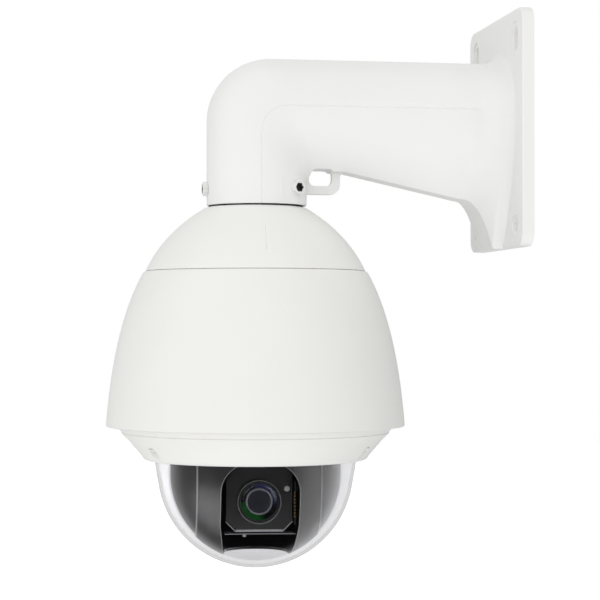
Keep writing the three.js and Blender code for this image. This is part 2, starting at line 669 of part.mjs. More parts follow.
function facePlate() {
  const { half, low, high, chamfer, topChamfer, thickness, bore, hole } = FACE_PLATE;
  const outline = new THREE.Shape();
  outline.moveTo(-half + chamfer, low).lineTo(half - chamfer, low).lineTo(half, low + chamfer);
  outline.lineTo(half, high - topChamfer).lineTo(half - topChamfer, high);
  outline.lineTo(-half + topChamfer, high).lineTo(-half, high - topChamfer);
  outline.lineTo(-half, low + chamfer).closePath();
  const plate = prism(outline, FACE_Y, FACE_Y + thickness);
  const through = [FACE_Y - 1, FACE_Y + thickness + 1];
  return cut(plate, rod("y", bore, through, [0, LENS_Z]), rod("y", hole, through, FACE_SCREW_AT, SMALL));
}

const faceScrew = () =>
  join(
    rod("y", 2, [FACE_Y - GAP - 1.1, FACE_Y - GAP], FACE_SCREW_AT, SMALL),
    rod("y", 1, [FACE_Y - GAP - 0.1, -33], FACE_SCREW_AT, 12),
  );

const faceBracket = () => block([-20, 20], [FACE_Y + 1.8, -30.3], [-243.5, -241]);
const sensorBoard = () => block([-20, 20], [24.6, 26.2], [-288, -244]);
const imageSensor = () => block([-5, 5], [21.2, 24.3], [LENS_Z - 5, LENS_Z + 5]);
const signalBoard = () => block([25.7, 26.9], [-38.6, -14 - GAP], [-290, -264]);
const irFilter = () => block([-6.5, 6.5], [13, 13.8], [LENS_Z - 6.5, LENS_Z + 6.5]);

// ---------------------------------------------------------------- the assembly
const camera = new THREE.Group();
const dome = new THREE.Group();
const pan = new THREE.Group();
dome.position.x = -REACH;
pan.rotation.z = HOME_YAW;
camera.add(dome);
dome.add(pan);

function add(group, name, solid, material) {
  const mesh = new THREE.Mesh(toGeometry(solid), material);
  mesh.name = name;
  group.add(mesh);
}

add(dome, "wall_arm", wallArm(), WHITE_PAINT);
for (const [side, azimuth] of Object.entries(NECK_BOLT_AZIMUTHS)) {
  add(dome, `neck_bolt_${side}`, neckBolt(azimuth), STEEL);
}
add(dome, "neck_adapter", neckAdapter(), ALUMINIUM);
add(dome, "adapter_nut", adapterNut(), BRASS);
add(dome, "neck_seal", neckSeal(), RUBBER);
add(dome, "top_cap", topCap(), WHITE_PAINT);
add(dome, "cap_seal", capSeal(), RUBBER);
add(dome, "sun_shield", sunShield(), WHITE_PAINT);
add(dome, "inner_housing", innerHousing(), ALUMINIUM);
add(dome, "trim_ring", trimRing(), WHITE_PAINT);
ringScrewPlaces().forEach((place, i) => add(dome, `ring_screw_${i + 1}`, ringScrew(place), STEEL));
add(dome, "bubble", bubble(), CLEAR_PLASTIC);
add(dome, "bubble_seal", bubbleSeal(), RUBBER);
add(dome, "bubble_retainer", bubbleRetainer(), ALUMINIUM);
add(dome, "chassis_plate", chassisPlate(), ALUMINIUM);
POST_PLACES.forEach((place, i) => add(dome, `chassis_post_${i + 1}`, chassisPost(place), BRASS));
add(dome, "power_board", powerBoard(), BOARD);
add(dome, "main_board", mainBoard(), BOARD);
add(dome, "pan_motor", panMotor(), BLACK_METAL);
add(dome, "pan_pinion", panPinion(), BRASS);
add(dome, "pan_belt", panBelt(), RUBBER);
add(dome, "pan_bearing_outer", panBearingOuter(), STEEL);
add(dome, "slip_ring_stator", slipRingStator(), BLACK_PLASTIC);
add(dome, "fan_frame", fanFrame(), BLACK_PLASTIC);
add(dome, "fan_rotor", fanRotor(), BLACK_PLASTIC);
add(dome, "heater_block", heaterBlock(), ALUMINIUM);

add(pan, "pan_bearing_inner", panBearingInner(), STEEL);
add(pan, "pan_shaft", panShaft(), STEEL);
add(pan, "pan_pulley", panPulley(), BLACK_PLASTIC);
add(pan, "slip_ring_rotor", slipRingRotor(), BRASS);
add(pan, "yoke", yoke(), BLACK_METAL);
add(pan, "liner_band", linerBand(), BLACK_PLASTIC);
add(pan, "liner_cheek_left", linerCheek(-1), BLACK_PLASTIC);
add(pan, "liner_cheek_right", linerCheek(1), BLACK_PLASTIC);
add(pan, "tilt_bearing_left", tiltBearing(-1), STEEL);
add(pan, "tilt_bearing_right", tiltBearing(1), STEEL);
add(pan, "tilt_motor", tiltMotor(), BLACK_METAL);
add(pan, "tilt_pinion", tiltPinion(), BRASS);
add(pan, "tilt_belt", tiltBelt(), RUBBER);
add(pan, "camera_cradle", cameraCradle(), BLACK_METAL);
add(pan, "tilt_pulley", tiltPulley(), BLACK_PLASTIC);
add(pan, "camera_block", cameraBlock(), BLACK_PLASTIC);
add(pan, "lens_barrel", lensBarrel(), BLACK_PLASTIC);
add(pan, "lens_ring", lensRing(), BLACK_METAL);
add(pan, "front_lens", lens(12, -38.6, -41.2, -43.1), GLASS);
add(pan, "face_plate", facePlate(), BLACK_PLASTIC);
add(pan, "face_bracket", faceBracket(), BLACK_METAL);
add(pan, "face_screw", faceScrew(), STEEL);
add(pan, "sensor_board", sensorBoard(), BOARD);
add(pan, "image_sensor", imageSensor(), BLACK_PLASTIC);
add(pan, "signal_board", signalBoard(), BOARD);
add(pan, "zoom_group", lensCell(11, -26, -20), GLASS);
add(pan, "focus_group", lensCell(11, 2, 6), GLASS);
add(pan, "ir_cut_filter", irFilter(), GLASS);

export default camera;
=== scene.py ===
"""A wall-mounted pan-tilt-zoom dome camera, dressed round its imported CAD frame.

Shapes are modelled in millimetres in the dome's own frame: the origin is on the dome's upright
axis at the height of the wall plate's centre, X runs along the arm towards the wall, Z is up and
the lens looks along -Y. Parts that pan are modelled square to that frame and then turned.
"""
import math

import bmesh
import bpy
from mathutils import Matrix, Vector

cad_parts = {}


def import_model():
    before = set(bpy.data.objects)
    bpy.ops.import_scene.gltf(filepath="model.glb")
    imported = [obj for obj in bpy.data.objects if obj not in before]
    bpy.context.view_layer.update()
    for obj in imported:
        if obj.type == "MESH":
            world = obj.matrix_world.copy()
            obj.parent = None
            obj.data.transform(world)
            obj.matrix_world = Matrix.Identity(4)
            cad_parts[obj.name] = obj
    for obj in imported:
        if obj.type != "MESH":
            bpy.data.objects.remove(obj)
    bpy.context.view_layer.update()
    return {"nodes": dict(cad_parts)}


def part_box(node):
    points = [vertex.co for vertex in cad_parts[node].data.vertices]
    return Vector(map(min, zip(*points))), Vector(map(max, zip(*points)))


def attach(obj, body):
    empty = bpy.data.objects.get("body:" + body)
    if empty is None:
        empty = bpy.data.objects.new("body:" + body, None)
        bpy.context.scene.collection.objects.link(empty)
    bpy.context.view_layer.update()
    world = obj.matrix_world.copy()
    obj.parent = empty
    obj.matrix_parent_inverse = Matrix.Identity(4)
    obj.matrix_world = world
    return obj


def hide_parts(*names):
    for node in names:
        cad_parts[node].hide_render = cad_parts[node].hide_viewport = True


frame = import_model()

# ---------------------------------------------------------------- driving sizes, mm
MM = 0.001
STEPS = 192  # round the big shells
FINE = 96  # round small turned parts

REACH = 194.5  # dome axis to the wall face
PLATE_T = 9
PLATE = {"half": 75, "bottom": -86.8, "top": 88.8, "corner": 11, "edge": 1.3}
WALL_HOLE_Y = 55
WALL_SLOT = {"z": 67.5, "r": 4.8, "half": 9, "recess_r": 8, "recess_half": 12.6}
WALL_ROUND = {"z": -70.5, "r": 5.3, "recess_r": 7.2}
CABLE_HOLE = {"z": 25, "r": 16}
TUBE_R = 36.8  # the arm's round upper half and its neck
TUBE_Z = 18.4  # centreline of the arm
ELBOW_R = 48  # outside of the bend
NECK_Z = -55.4  # bottom rim of the neck
UNDERSIDE_Z = -29.5  # the arm's underside next to the neck
CORNER_R = 10  # inside of the bend
ARM_END = REACH - PLATE_T + 0.5
ARM_WALL = 4.0
SIDE_FLARE = 26  # fillet from the arm's sides into the plate
TOP_FLARE = 12
FOOT = {"half": 11, "spread": 9, "from": 150, "over": 28}  # half-width of the flat underside
# The edge of the raised web, and where it fades out towards the plate.
CREASE = {"x": -0.7, "z": 16.6, "r": 20, "step": 0.9, "groove": 0.35, "fade_from": 160, "fade_over": 8}
NECK_BULGE = 1.5  # how far the raised half of the neck stands out by the wall side
RIM_ROUND = 0.9  # rounding of the neck's bottom rim
BOLT_Z = -43
BOLT_FACES = {"left": (180, 0), "front": (-60, 9), "rear": (60, -9)}  # facing, and how far aside
BOSS = {"far": 18, "near": -6, "top": -34.6, "face": 38.0}  # round a neck bolt

CAP = [(37, -56.5), (68.8, -75.2), (82.2, -104)]  # quadratic curves of the two white shells
SHIELD = [(83.6, -104.6), (105.7, -143), (111.6, -219)]
RING_BOTTOM = -245
RING_SCREW_R = 88.6
RING_SCREW_AZIMUTHS = (-154, -34, 86)
POCKET_TOP = -234

MARK_AZIMUTH = -91.4  # the shallow witness mark on the cap
MARK_TOP = -71.5
MARK_LENGTH = 19.5

BUBBLE_Z = -252.2
BUBBLE_R = 73.3
BUBBLE_WALL = 2.5
BALL_Z = -255.6
BALL_R = 64.9
BALL_WALL = 2
BALL_TOP = -209.3
BALL_MOUTH_R = 24
BAND_HALF = 45  # half-width of the liner's middle band

LENS_Z = -272.8
FACE_Y = -41

# ---------------------------------------------------------------- places
shield_low, shield_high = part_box("sun_shield")
AXIS_X = (shield_low.x + shield_high.x) / 2
HOME_YAW = math.radians(-4.6)
DOME = Matrix.Translation((AXIS_X, 0, 0))
PAN = DOME @ Matrix.Rotation(HOME_YAW, 4, "Z")
LENS = PAN @ Matrix.Translation((0, 0, LENS_Z * MM))


def shifted(base, x, y, z):
    return base @ Matrix.Translation(Vector((x, y, z)) * MM)


def turned(base, degrees):
    return base @ Matrix.Rotation(math.radians(degrees), 4, "Z")


# ---------------------------------------------------------------- curves and profiles
def lerp(a, b, t):
    return a + (b - a) * t


def smooth(t):
    t = max(0.0, min(1.0, t))
    return t * t * (3 - 2 * t)


def bezier(points, steps):
    """Points on a quadratic curve through the first and last of three."""
    (r0, z0), (r1, z1), (r2, z2) = points
    curve = []
    for i in range(steps + 1):
        t = i / steps
        a, b, c = (1 - t) ** 2, 2 * t * (1 - t), t * t
        curve.append((a * r0 + b * r1 + c * r2, a * z0 + b * z1 + c * z2))
    return curve


def arc(r, centre, start, end, steps):
    """Points on a circle, angles in degrees."""
    angles = [math.radians(lerp(start, end, i / steps)) for i in range(steps + 1)]
    return [(centre[0] + r * math.cos(a), centre[1] + r * math.sin(a)) for a in angles]


def rounded(corners, radii, steps=6):
    """A polygon with each corner replaced by an arc of its radius."""
    outline = []
    count = len(corners)
    for i, corner in enumerate(corners):
        radius = radii[i] if isinstance(radii, (list, tuple)) else radii
        here = Vector(corner)
        to_last = (Vector(corners[i - 1]) - here).normalized()
        to_next = (Vector(corners[(i + 1) % count]) - here).normalized()
        if radius < 0.01:
            outline.append(tuple(here))
            continue
        half = to_last.angle(to_next) / 2
        setback = radius / math.tan(half)
        centre = here + (to_last + to_next).normalized() * (radius / math.sin(half))
        first, last = here + to_last * setback - centre, here + to_next * setback - centre
        sweep = math.pi - 2 * half
        turn = 1 if first.x * last.y - first.y * last.x > 0 else -1
        for k in range(steps + 1):
            a = turn * sweep * k / steps
            x = first.x * math.cos(a) - first.y * math.sin(a)
            y = first.x * math.sin(a) + first.y * math.cos(a)
            outline.append((centre.x + x, centre.y + y))
    return outline


def rectangle(x0, x1, y0, y1, r=0.0, steps=6):
    return rounded([(x0, y0), (x1, y0), (x1, y1), (x0, y1)], r, steps)


def circle(r, x, y):
    steps = 48
    return arc(r, (x, y), 0, 360 * (steps - 1) / steps, steps - 1)


# ---------------------------------------------------------------- meshes
def add_object(name, mesh, place):
    obj = bpy.data.objects.new(name, mesh)
    bpy.context.scene.collection.objects.link(obj)
    obj.matrix_world = place
    return obj


def tidy_mesh(mesh):
    """Merges coincident points, drops faces without area and turns all faces outwards."""
    bm = bmesh.new()
    bm.from_mesh(mesh)
    bmesh.ops.remove_doubles(bm, verts=bm.verts, dist=2e-6)
    bmesh.ops.dissolve_degenerate(bm, dist=1e-6, edges=bm.edges)
    bmesh.ops.recalc_face_normals(bm, faces=bm.faces)
    if bm.calc_volume(signed=True) < 0:
        bmesh.ops.reverse_faces(bm, faces=bm.faces)
    bm.to_mesh(mesh)
    bm.free()


def from_faces(name, points, faces, place=DOME):
    mesh = bpy.data.meshes.new(name)
    mesh.from_pydata([Vector(p) * MM for p in points], [], faces)
    tidy_mesh(mesh)
    return add_object(name, mesh, place)


def skin(loops):
    """Points and faces of equal-length closed loops joined in order, with both ends capped."""
    count = len(loops[0])
    faces = []
    for s in range(len(loops) - 1):
        for i in range(count):
            a, b = s * count + i, s * count + (i + 1) % count
            faces.append((a, b, b + count, a + count))
    faces.append(tuple(range(count)))
    faces.append(tuple(len(loops) * count - 1 - i for i in range(count)))
    return [p for loop in loops for p in loop], faces


def revolve(name, profile, place=DOME, steps=STEPS, along="z", extra=()):
    """A turned shape from (radius, height) pairs, closed on itself unless it starts on the axis.
    extra holds more angles, in degrees, where the surface needs finer faces."""
    turns = sorted({round(360 * i / steps, 4) for i in range(steps)} | {round(a % 360, 4) for a in extra})
    steps = len(turns)
    points = []
    for r, h in profile:
        for a in map(math.radians, turns):
            u, v = r * math.cos(a), r * math.sin(a)
            points.append((u, v, h) if along == "z" else (u, h, v) if along == "y" else (h, u, v))
    rings = len(profile)
    spans = rings if profile[0][0] > 0 else rings - 1
    faces = []
    for k in range(spans):
        for i in range(steps):
            a, b = k * steps, (k + 1) % rings * steps
            j = (i + 1) % steps
            faces.append((a + i, a + j, b + j, b + i))
    return from_faces(name, points, faces, place)


def flat_part(name, loops, near, far, plane="xz", place=DOME):
    """An outline with holes, filled and extruded between two heights on the axis off its plane."""
    curve = bpy.data.curves.new(name, "CURVE")
    curve.dimensions = "2D"
    curve.fill_mode = "BOTH"
    curve.extrude = (far - near) / 2 * MM
    for loop in loops:
        spline = curve.splines.new("POLY")
        spline.points.add(len(loop) - 1)
        for point, (u, v) in zip(spline.points, loop):
            point.co = (u * MM, v * MM, 0, 1)
        spline.use_cyclic_u = True
    holder = bpy.data.objects.new(name, curve)
    mesh = bpy.data.meshes.new_from_object(holder)
    bpy.data.objects.remove(holder)
    bpy.data.curves.remove(curve)
    mesh.name = name
    middle = (near + far) / 2 * MM
    for vertex in mesh.vertices:
        u, v, w = vertex.co
        w += middle
        vertex.co = {"xz": (u, w, v), "yz": (w, u, v), "xy": (u, v, w)}[plane]
    tidy_mesh(mesh)
    return add_object(name, mesh, place)


def settle(obj):
    """Applies an object's modifiers."""
    graph = bpy.context.evaluated_depsgraph_get()
    mesh = bpy.data.meshes.new_from_object(obj.evaluated_get(graph))
    obj.modifiers.clear()
    obj.data = mesh


def combine(obj, others, operation):
    """Boolean of obj with each other object, which are used up."""
    for other in others:
        modifier = obj.modifiers.new(operation, "BOOLEAN")
        modifier.operation = operation
        modifier.solver = "EXACT"
        modifier.object = other
        bpy.context.view_layer.update()
        settle(obj)
        bpy.data.objects.remove(other)
    tidy_mesh(obj.data)
    return obj


def bevelled(obj, width, segments=2, angle=35):
    modifier = obj.modifiers.new("edges", "BEVEL")
    modifier.width = width * MM
    modifier.segments = segments
    modifier.limit_method = "ANGLE"
    modifier.angle_limit = math.radians(angle)


def dress(obj, slot, body, replaces=(), bevel=0.0, sharp=35, finish=None):
    """Gives a piece its material (the slot's, or the finish in its place) and soft shading, puts it in its
    body and hides the nodes it replaces.
    """
    obj.data.materials.clear()
    obj.data.materials.append(MATERIALS[finish or slot])
    obj.data.polygons.foreach_set("use_smooth", [True] * len(obj.data.polygons))
    if bevel:
        bevelled(obj, bevel)
    else:
        bm = bmesh.new()
        bm.from_mesh(obj.data)
        for edge in bm.edges:
            edge.smooth = not (edge.is_manifold and edge.calc_face_angle() > math.radians(sharp))
        bm.to_mesh(obj.data)
        bm.free()
    obj.modifiers.new("shading", "WEIGHTED_NORMAL").keep_sharp = True
    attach(obj, body)
    if replaces:
        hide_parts(*replaces)


# ---------------------------------------------------------------- materials
def set_range(node, start, end, low, high):
    """Makes a Map Range node turn start to end into low to high."""
    for key, number in zip(("From Min", "From Max", "To Min", "To Max"), (start, end, low, high)):
        node.inputs[key].default_value = number


class Shader:
    """A material's node tree, with short calls for the nodes used here."""

    def __init__(self, name):
        self.material = bpy.data.materials.new(name)
        self.material.use_nodes = True
        self.tree = self.material.node_tree
        self.surface = self.tree.nodes["Principled BSDF"]
        self.where = self.tree.nodes.new("ShaderNodeTexCoord").outputs["Object"]

    def node(self, kind, **settings):
        made = self.tree.nodes.new(kind)
        for key, value in settings.items():
            setattr(made, key, value)
        return made

    def link(self, source, target):
        self.tree.links.new(source, target)

    def stretched(self, scale):
        mapping = self.node("ShaderNodeMapping")
        mapping.inputs["Scale"].default_value = scale
        self.link(self.where, mapping.inputs["Vector"])
        return mapping.outputs["Vector"]

    def noise(self, size, detail=2.0, vector=None):
        """Noise with features of about that size in mm."""
        made = self.node("ShaderNodeTexNoise")
        made.inputs["Scale"].default_value = 1 / (size * MM)
        made.inputs["Detail"].default_value = detail
        self.link(vector or self.where, made.inputs["Vector"])
        return made.outputs["Fac"]

    def remap(self, value, low, high, start=0.3, end=0.7):
        made = self.node("ShaderNodeMapRange")
        self.link(value, made.inputs["Value"])
        set_range(made, start, end, low, high)
        return made.outputs["Result"]

    def mix(self, factor, a, b):
        made = self.node("ShaderNodeMix", data_type="RGBA")
        self.link(factor, made.inputs["Factor"])
        for socket, colour in zip(("A", "B"), (a, b)):
            target = [i for i in made.inputs if i.name == socket and i.type == "RGBA"][0]
            if isinstance(colour, bpy.types.NodeSocket):
                self.link(colour, target)
            else:
                target.default_value = (*colour, 1)
        return [o for o in made.outputs if o.type == "RGBA"][0]

    def math(self, operation, a, b=0.0):
        made = self.node("ShaderNodeMath", operation=operation)
        for socket, value in zip(made.inputs, (a, b)):
            if isinstance(value, bpy.types.NodeSocket):
                self.link(value, socket)
            else:
                socket.default_value = value
        return made.outputs["Value"]

    def bump(self, height, depth, strength=1.0):
        made = self.node("ShaderNodeBump")
        made.inputs["Distance"].default_value = depth * MM
        made.inputs["Strength"].default_value = strength
        self.link(height, made.inputs["Height"])
        self.link(made.outputs["Normal"], self.surface.inputs["Normal"])

    def set(self, **values):
        for key, value in values.items():
            self.surface.inputs[key.replace("_", " ")].default_value = value


def scaled(colour, share):
    return tuple(min(1.0, c * share) for c in colour)


def moulded(name, colour, roughness, grain, depth, mottle=0.04, metal=0.0, spread=0.05, **extra):
    """A coated or moulded surface: fine grain, faint patches of colour and uneven gloss."""
    s = Shader(name)
    patches = s.noise(28, 4)
    s.link(s.mix(patches, scaled(colour, 1 - mottle), scaled(colour, 1 + mottle)),
           s.surface.inputs["Base Color"])
    s.link(s.remap(s.noise(9, 3), roughness - spread, roughness + spread),
           s.surface.inputs["Roughness"])
    s.bump(s.noise(grain, 3), depth)
    s.set(Metallic=metal, **extra)
    return s.material


def machined(name, colour, roughness, stretch=(1, 1, 12), metal=1.0):
    """Bare metal with tool marks drawn out along one axis."""
    s = Shader(name)
    marks = s.noise(2.5, 5, s.stretched(stretch))
    s.link(s.mix(marks, scaled(colour, 0.82), scaled(colour, 1.1)), s.surface.inputs["Base Color"])
    s.link(s.remap(marks, roughness - 0.08, roughness + 0.1), s.surface.inputs["Roughness"])
    s.bump(marks, 0.02)
    s.set(Metallic=metal)
    return s.material


def circuit_board():
    """Green solder mask with copper tracks and tinned pads."""
    s = Shader("circuit_board")
    tracks = s.node("ShaderNodeTexBrick", offset=0.37, squash=1.6)
    tracks.inputs["Scale"].default_value = 1 / (9 * MM)
    tracks.inputs["Mortar Size"].default_value = 0.045
    s.link(s.where, tracks.inputs["Vector"])
    mask = s.mix(s.noise(6, 4), (0.012, 0.085, 0.04), (0.02, 0.13, 0.06))
    with_tracks = s.mix(tracks.outputs["Fac"], mask, (0.06, 0.24, 0.11))
    cells = s.node("ShaderNodeTexVoronoi")
    cells.inputs["Scale"].default_value = 1 / (3.4 * MM)
    s.link(s.where, cells.inputs["Vector"])
    pads = s.math("LESS_THAN", cells.outputs["Distance"], 0.17)
    s.link(s.mix(pads, with_tracks, (0.62, 0.6, 0.55)), s.surface.inputs["Base Color"])
    s.link(s.math("MULTIPLY", pads, 0.9), s.surface.inputs["Metallic"])
    s.link(s.remap(s.noise(5), 0.34, 0.46), s.surface.inputs["Roughness"])
    s.bump(pads, 0.05)
    return s.material


def clear_bubble():
    """Polished clear polycarbonate with the faintest haze."""
    s = Shader("clear_bubble")
    s.link(s.mix(s.noise(60, 2), (0.955, 0.955, 0.965), (0.985, 0.985, 0.99)),
           s.surface.inputs["Base Color"])
    s.bump(s.noise(60, 0), 0.006, 0.3)
    s.set(Transmission_Weight=1.0, Roughness=0.0, IOR=1.49)
    return s.material


def coated_glass(name, deep, edge):
    """Dark lens glass whose colour changes from its middle to its rim: where the rim is lighter and bluer
    it is a painted glint, elsewhere it only grows darker.
    """
    s = Shader(name)
    length = s.node("ShaderNodeVectorMath", operation="LENGTH")
    s.link(s.stretched((1, 0, 1)), length.inputs[0])
    rim = s.remap(length.outputs["Value"], 0, 1, 0.002, 0.011)
    s.link(s.mix(rim, deep, edge), s.surface.inputs["Base Color"])
    s.link(s.remap(s.noise(3), 0.02, 0.05), s.surface.inputs["Roughness"])
    s.set(Coat_Weight=0.6, Coat_Roughness=0.03)
    return s.material


def funnel_with_painted_reflections():
    """The blackened funnel round the front element, with green and violet reflections of the lens coating
    painted into its colour.
    """
    s = Shader("funnel_with_painted_reflections")
    axes = s.node("ShaderNodeSeparateXYZ")
    s.link(s.where, axes.inputs["Vector"])
    angle = s.math("ARCTAN2", axes.outputs["Z"], axes.outputs["X"])
    wobble = s.math("MULTIPLY", s.noise(4), 0.25)
    bearing = s.math("ADD", angle, wobble)

    def lobe(centre, width, soft):
        away = s.math("ABSOLUTE", s.math("SUBTRACT", bearing, math.radians(centre)))
        return s.remap(away, 1, 0, math.radians(width - soft), math.radians(width + soft))

    # Painted reflections: green lower left and violet upper right, set by angle round the lens axis.
    green = lobe(-122, 46, 16)
    violet = lobe(62, 50, 26)
    base = (0.0025, 0.0025, 0.003)
    with_green_reflection = s.mix(green, base, (0.012, 0.12, 0.022))
    s.link(s.mix(violet, with_green_reflection, (0.032, 0.036, 0.11)), s.surface.inputs["Base Color"])
    s.link(s.remap(s.noise(2), 0.12, 0.2), s.surface.inputs["Roughness"])
    return s.material


def make_materials():
    """Every material by name. A coated one gives colour, roughness, grain in mm, depth, mottle and
    metal; a machined one colour, roughness, stretch and metal."""
    coated = {
        "arm_white": ((0.857, 0.857, 0.843), 0.36, 1.1, 0.018, 0.012),
        "housing_white": ((0.852, 0.85, 0.826), 0.48, 0.7, 0.05, 0.015),
        "black_plastic": ((0.05, 0.05, 0.052), 0.45, 0.6, 0.006, 0.15),
        "black_metal": ((0.026, 0.026, 0.028), 0.4, 0.8, 0.04, 0.15, 0.35),
        "rubber_seal": ((0.014, 0.014, 0.014), 0.75, 0.35, 0.05, 0.2),
        "cast_aluminium": ((0.6, 0.61, 0.62), 0.42, 1.6, 0.09, 0.06, 1.0),
        # The next two finishes are painted highlights: greys much lighter than the black parts they edge,
        # standing in for edges that catch the light.
        "painted_dark_edge_highlight": ((0.27, 0.272, 0.28), 0.25, 0.7, 0.01, 0.15),
        "painted_edge_highlight": ((0.6, 0.6, 0.61), 0.3, 0.7, 0.01, 0.25),
        "ring_metal": ((0.46, 0.45, 0.52), 0.3, 0.6, 0.001, 0.05, 0.3),
    }
    bare = {
        "stainless_steel": ((0.62, 0.62, 0.63), 0.26),
        "brass": ((0.74, 0.56, 0.28), 0.3),
        "bolt_steel": ((0.94, 0.93, 0.91), 0.2, (1, 1, 1), 0.1),
        "gold_contact": ((0.72, 0.45, 0.22), 0.3),
    }
    made = {name: moulded(name, *values) for name, values in coated.items()}
    made.update({name: machined(name, *values) for name, values in bare.items()})
    made["liner_black"] = moulded("liner_black", (0.022, 0.022, 0.023), 0.34, 0.5, 0.001, 0.12,
                                  spread=0.02, Specular_IOR_Level=1.0)
    made["lens_glass"] = coated_glass("lens_glass", (0.01, 0.012, 0.02), (0.004, 0.004, 0.006))
    # lens_inner's lighter blue-grey rim is a painted glint on the front glass.
    made["lens_inner"] = coated_glass("lens_inner", (0.006, 0.007, 0.011), (0.02, 0.024, 0.036))
    made["clear_bubble"] = clear_bubble()
    made["circuit_board"] = circuit_board()
    made["funnel_with_painted_reflections"] = funnel_with_painted_reflections()
    return made


# ---------------------------------------------------------------- the wall arm
def underside(x):
    """Height of the underside: level by the neck, then sloping, then curving down the plate."""
    slope_start, curve_start, foot_end, slope = 66, 154.5, 178, -0.2224
    foot_z = -87.0
    if x <= slope_start:
        return UNDERSIDE_Z
    if x <= curve_start:
        return UNDERSIDE_Z + slope * (x - slope_start)
    at_curve = UNDERSIDE_Z + slope * (curve_start - slope_start)
    t = min(1.0, (x - curve_start) / (foot_end - curve_start))
    return lerp(at_curve, foot_z, t ** 2.4)


def flare(x, radius):
    """How far a quarter-round fillet that ends on the plate has spread at x."""
    t = max(0.0, min(1.0, (x - ARM_END + radius) / radius))
    return radius * (1 - math.sqrt(max(0.0, 1 - t * t)))


def foot_half(x):
    return FOOT["half"] + FOOT["spread"] * smooth((x - FOOT["from"]) / FOOT["over"])


def arm_half(x, z):
    """Half-width of the arm's section at x and height z."""
    half = TUBE_R + flare(x, SIDE_FLARE)
    rise = TUBE_R + flare(x, TOP_FLARE)
    if z >= TUBE_Z:
        return half * math.sqrt(max(0.0, 1 - ((z - TUBE_Z) / rise) ** 2))
    t = min(1.0, (TUBE_Z - z) / (TUBE_Z - underside(x)))
    return half - (half - foot_half(x)) * t ** 2.2


def neck_half(x):
    return math.sqrt(max(0.0, TUBE_R ** 2 - x * x))


def across_lines():
    """Where the lines across a section run: share of the way from the outside to the crease, from
    the crease to the foot's corner and along the flat foot, and how far each stands proud."""
    outer = [(1 - math.cos(math.pi / 2 * i / 20)) * 0.972 for i in range(20)]
    lines = [("outer", share, 0.0) for share in outer]
    lines += [("outer", 0.976, 0.0), ("outer", 0.988, -CREASE["groove"]), ("outer", 1.0, -CREASE["groove"])]
    step = CREASE["step"]
    lines += [("inner", 0.012, step), ("inner", 0.026, step)]
    lines += [("inner", lerp(0.05, 1.0, i / 22), step * (1 - i / 22)) for i in range(23)]
    lines += [("foot", i / 6, 0.0) for i in range(1, 7)]
    return lines


def neck_proud(kind, share, proud):
    """On the neck the raised half doesn't fade out but bulges towards the wall."""
    if kind == "outer":
        return proud
    return lerp(CREASE["step"], NECK_BULGE, share if kind == "inner" else 1.0)


def section_point(kind, share, path, reach):
    """x and z of one line on a section whose path runs outside, crease, inside. reach is the share
    of the way inwards at which the foot begins."""
    outside, crease, inside = path
    if kind == "outer":
        return tuple(lerp(a, b, share) for a, b in zip(outside, crease))
    along = reach * math.sin(share * math.pi / 2) if kind == "inner" else lerp(reach, 1.0, share)
    return tuple(lerp(a, b, along) for a, b in zip(crease, inside))


def neck_line(kind, share, path):
    """A line on a section of the neck, whose outline is a circle in x."""
    edge_x = math.sqrt(TUBE_R ** 2 - FOOT["half"] ** 2)
    foot_edge = (edge_x - CREASE["x"]) / (TUBE_R - CREASE["x"])
    x, z = section_point(kind, share, path, foot_edge)
    if kind == "foot":
        # The last part of the circle, spaced by angle so that it stays round.
        angle = math.asin(FOOT["half"] / TUBE_R) * (1 - share)
        across = TUBE_R * math.cos(angle)
        t = (across - CREASE["x"]) / (TUBE_R - CREASE["x"])
        x, z = (lerp(a, b, t) for a, b in zip(path[1], path[2]))
        return x, z, TUBE_R * math.sin(angle)
    if kind == "outer":
        return x, z, neck_half(lerp(-TUBE_R, CREASE["x"], share))
    along = foot_edge * math.sin(share * math.pi / 2)
    return x, z, neck_half(lerp(CREASE["x"], TUBE_R, along))


def arm_line(kind, share, path):
    """A line on a section of the arm, whose foot is flat."""
    x, z = section_point(kind, share, path, 1.0)
    if kind == "foot":
        return x, z, foot_half(x) * (1 - share)
    if kind == "outer":
        height = lerp(TUBE_Z + TUBE_R + flare(x, TOP_FLARE), CREASE["z"], share)
        return x, z, arm_half(x, height)
    height = lerp(CREASE["z"], underside(x), math.sin(share * math.pi / 2))
    return x, z, arm_half(x, height)


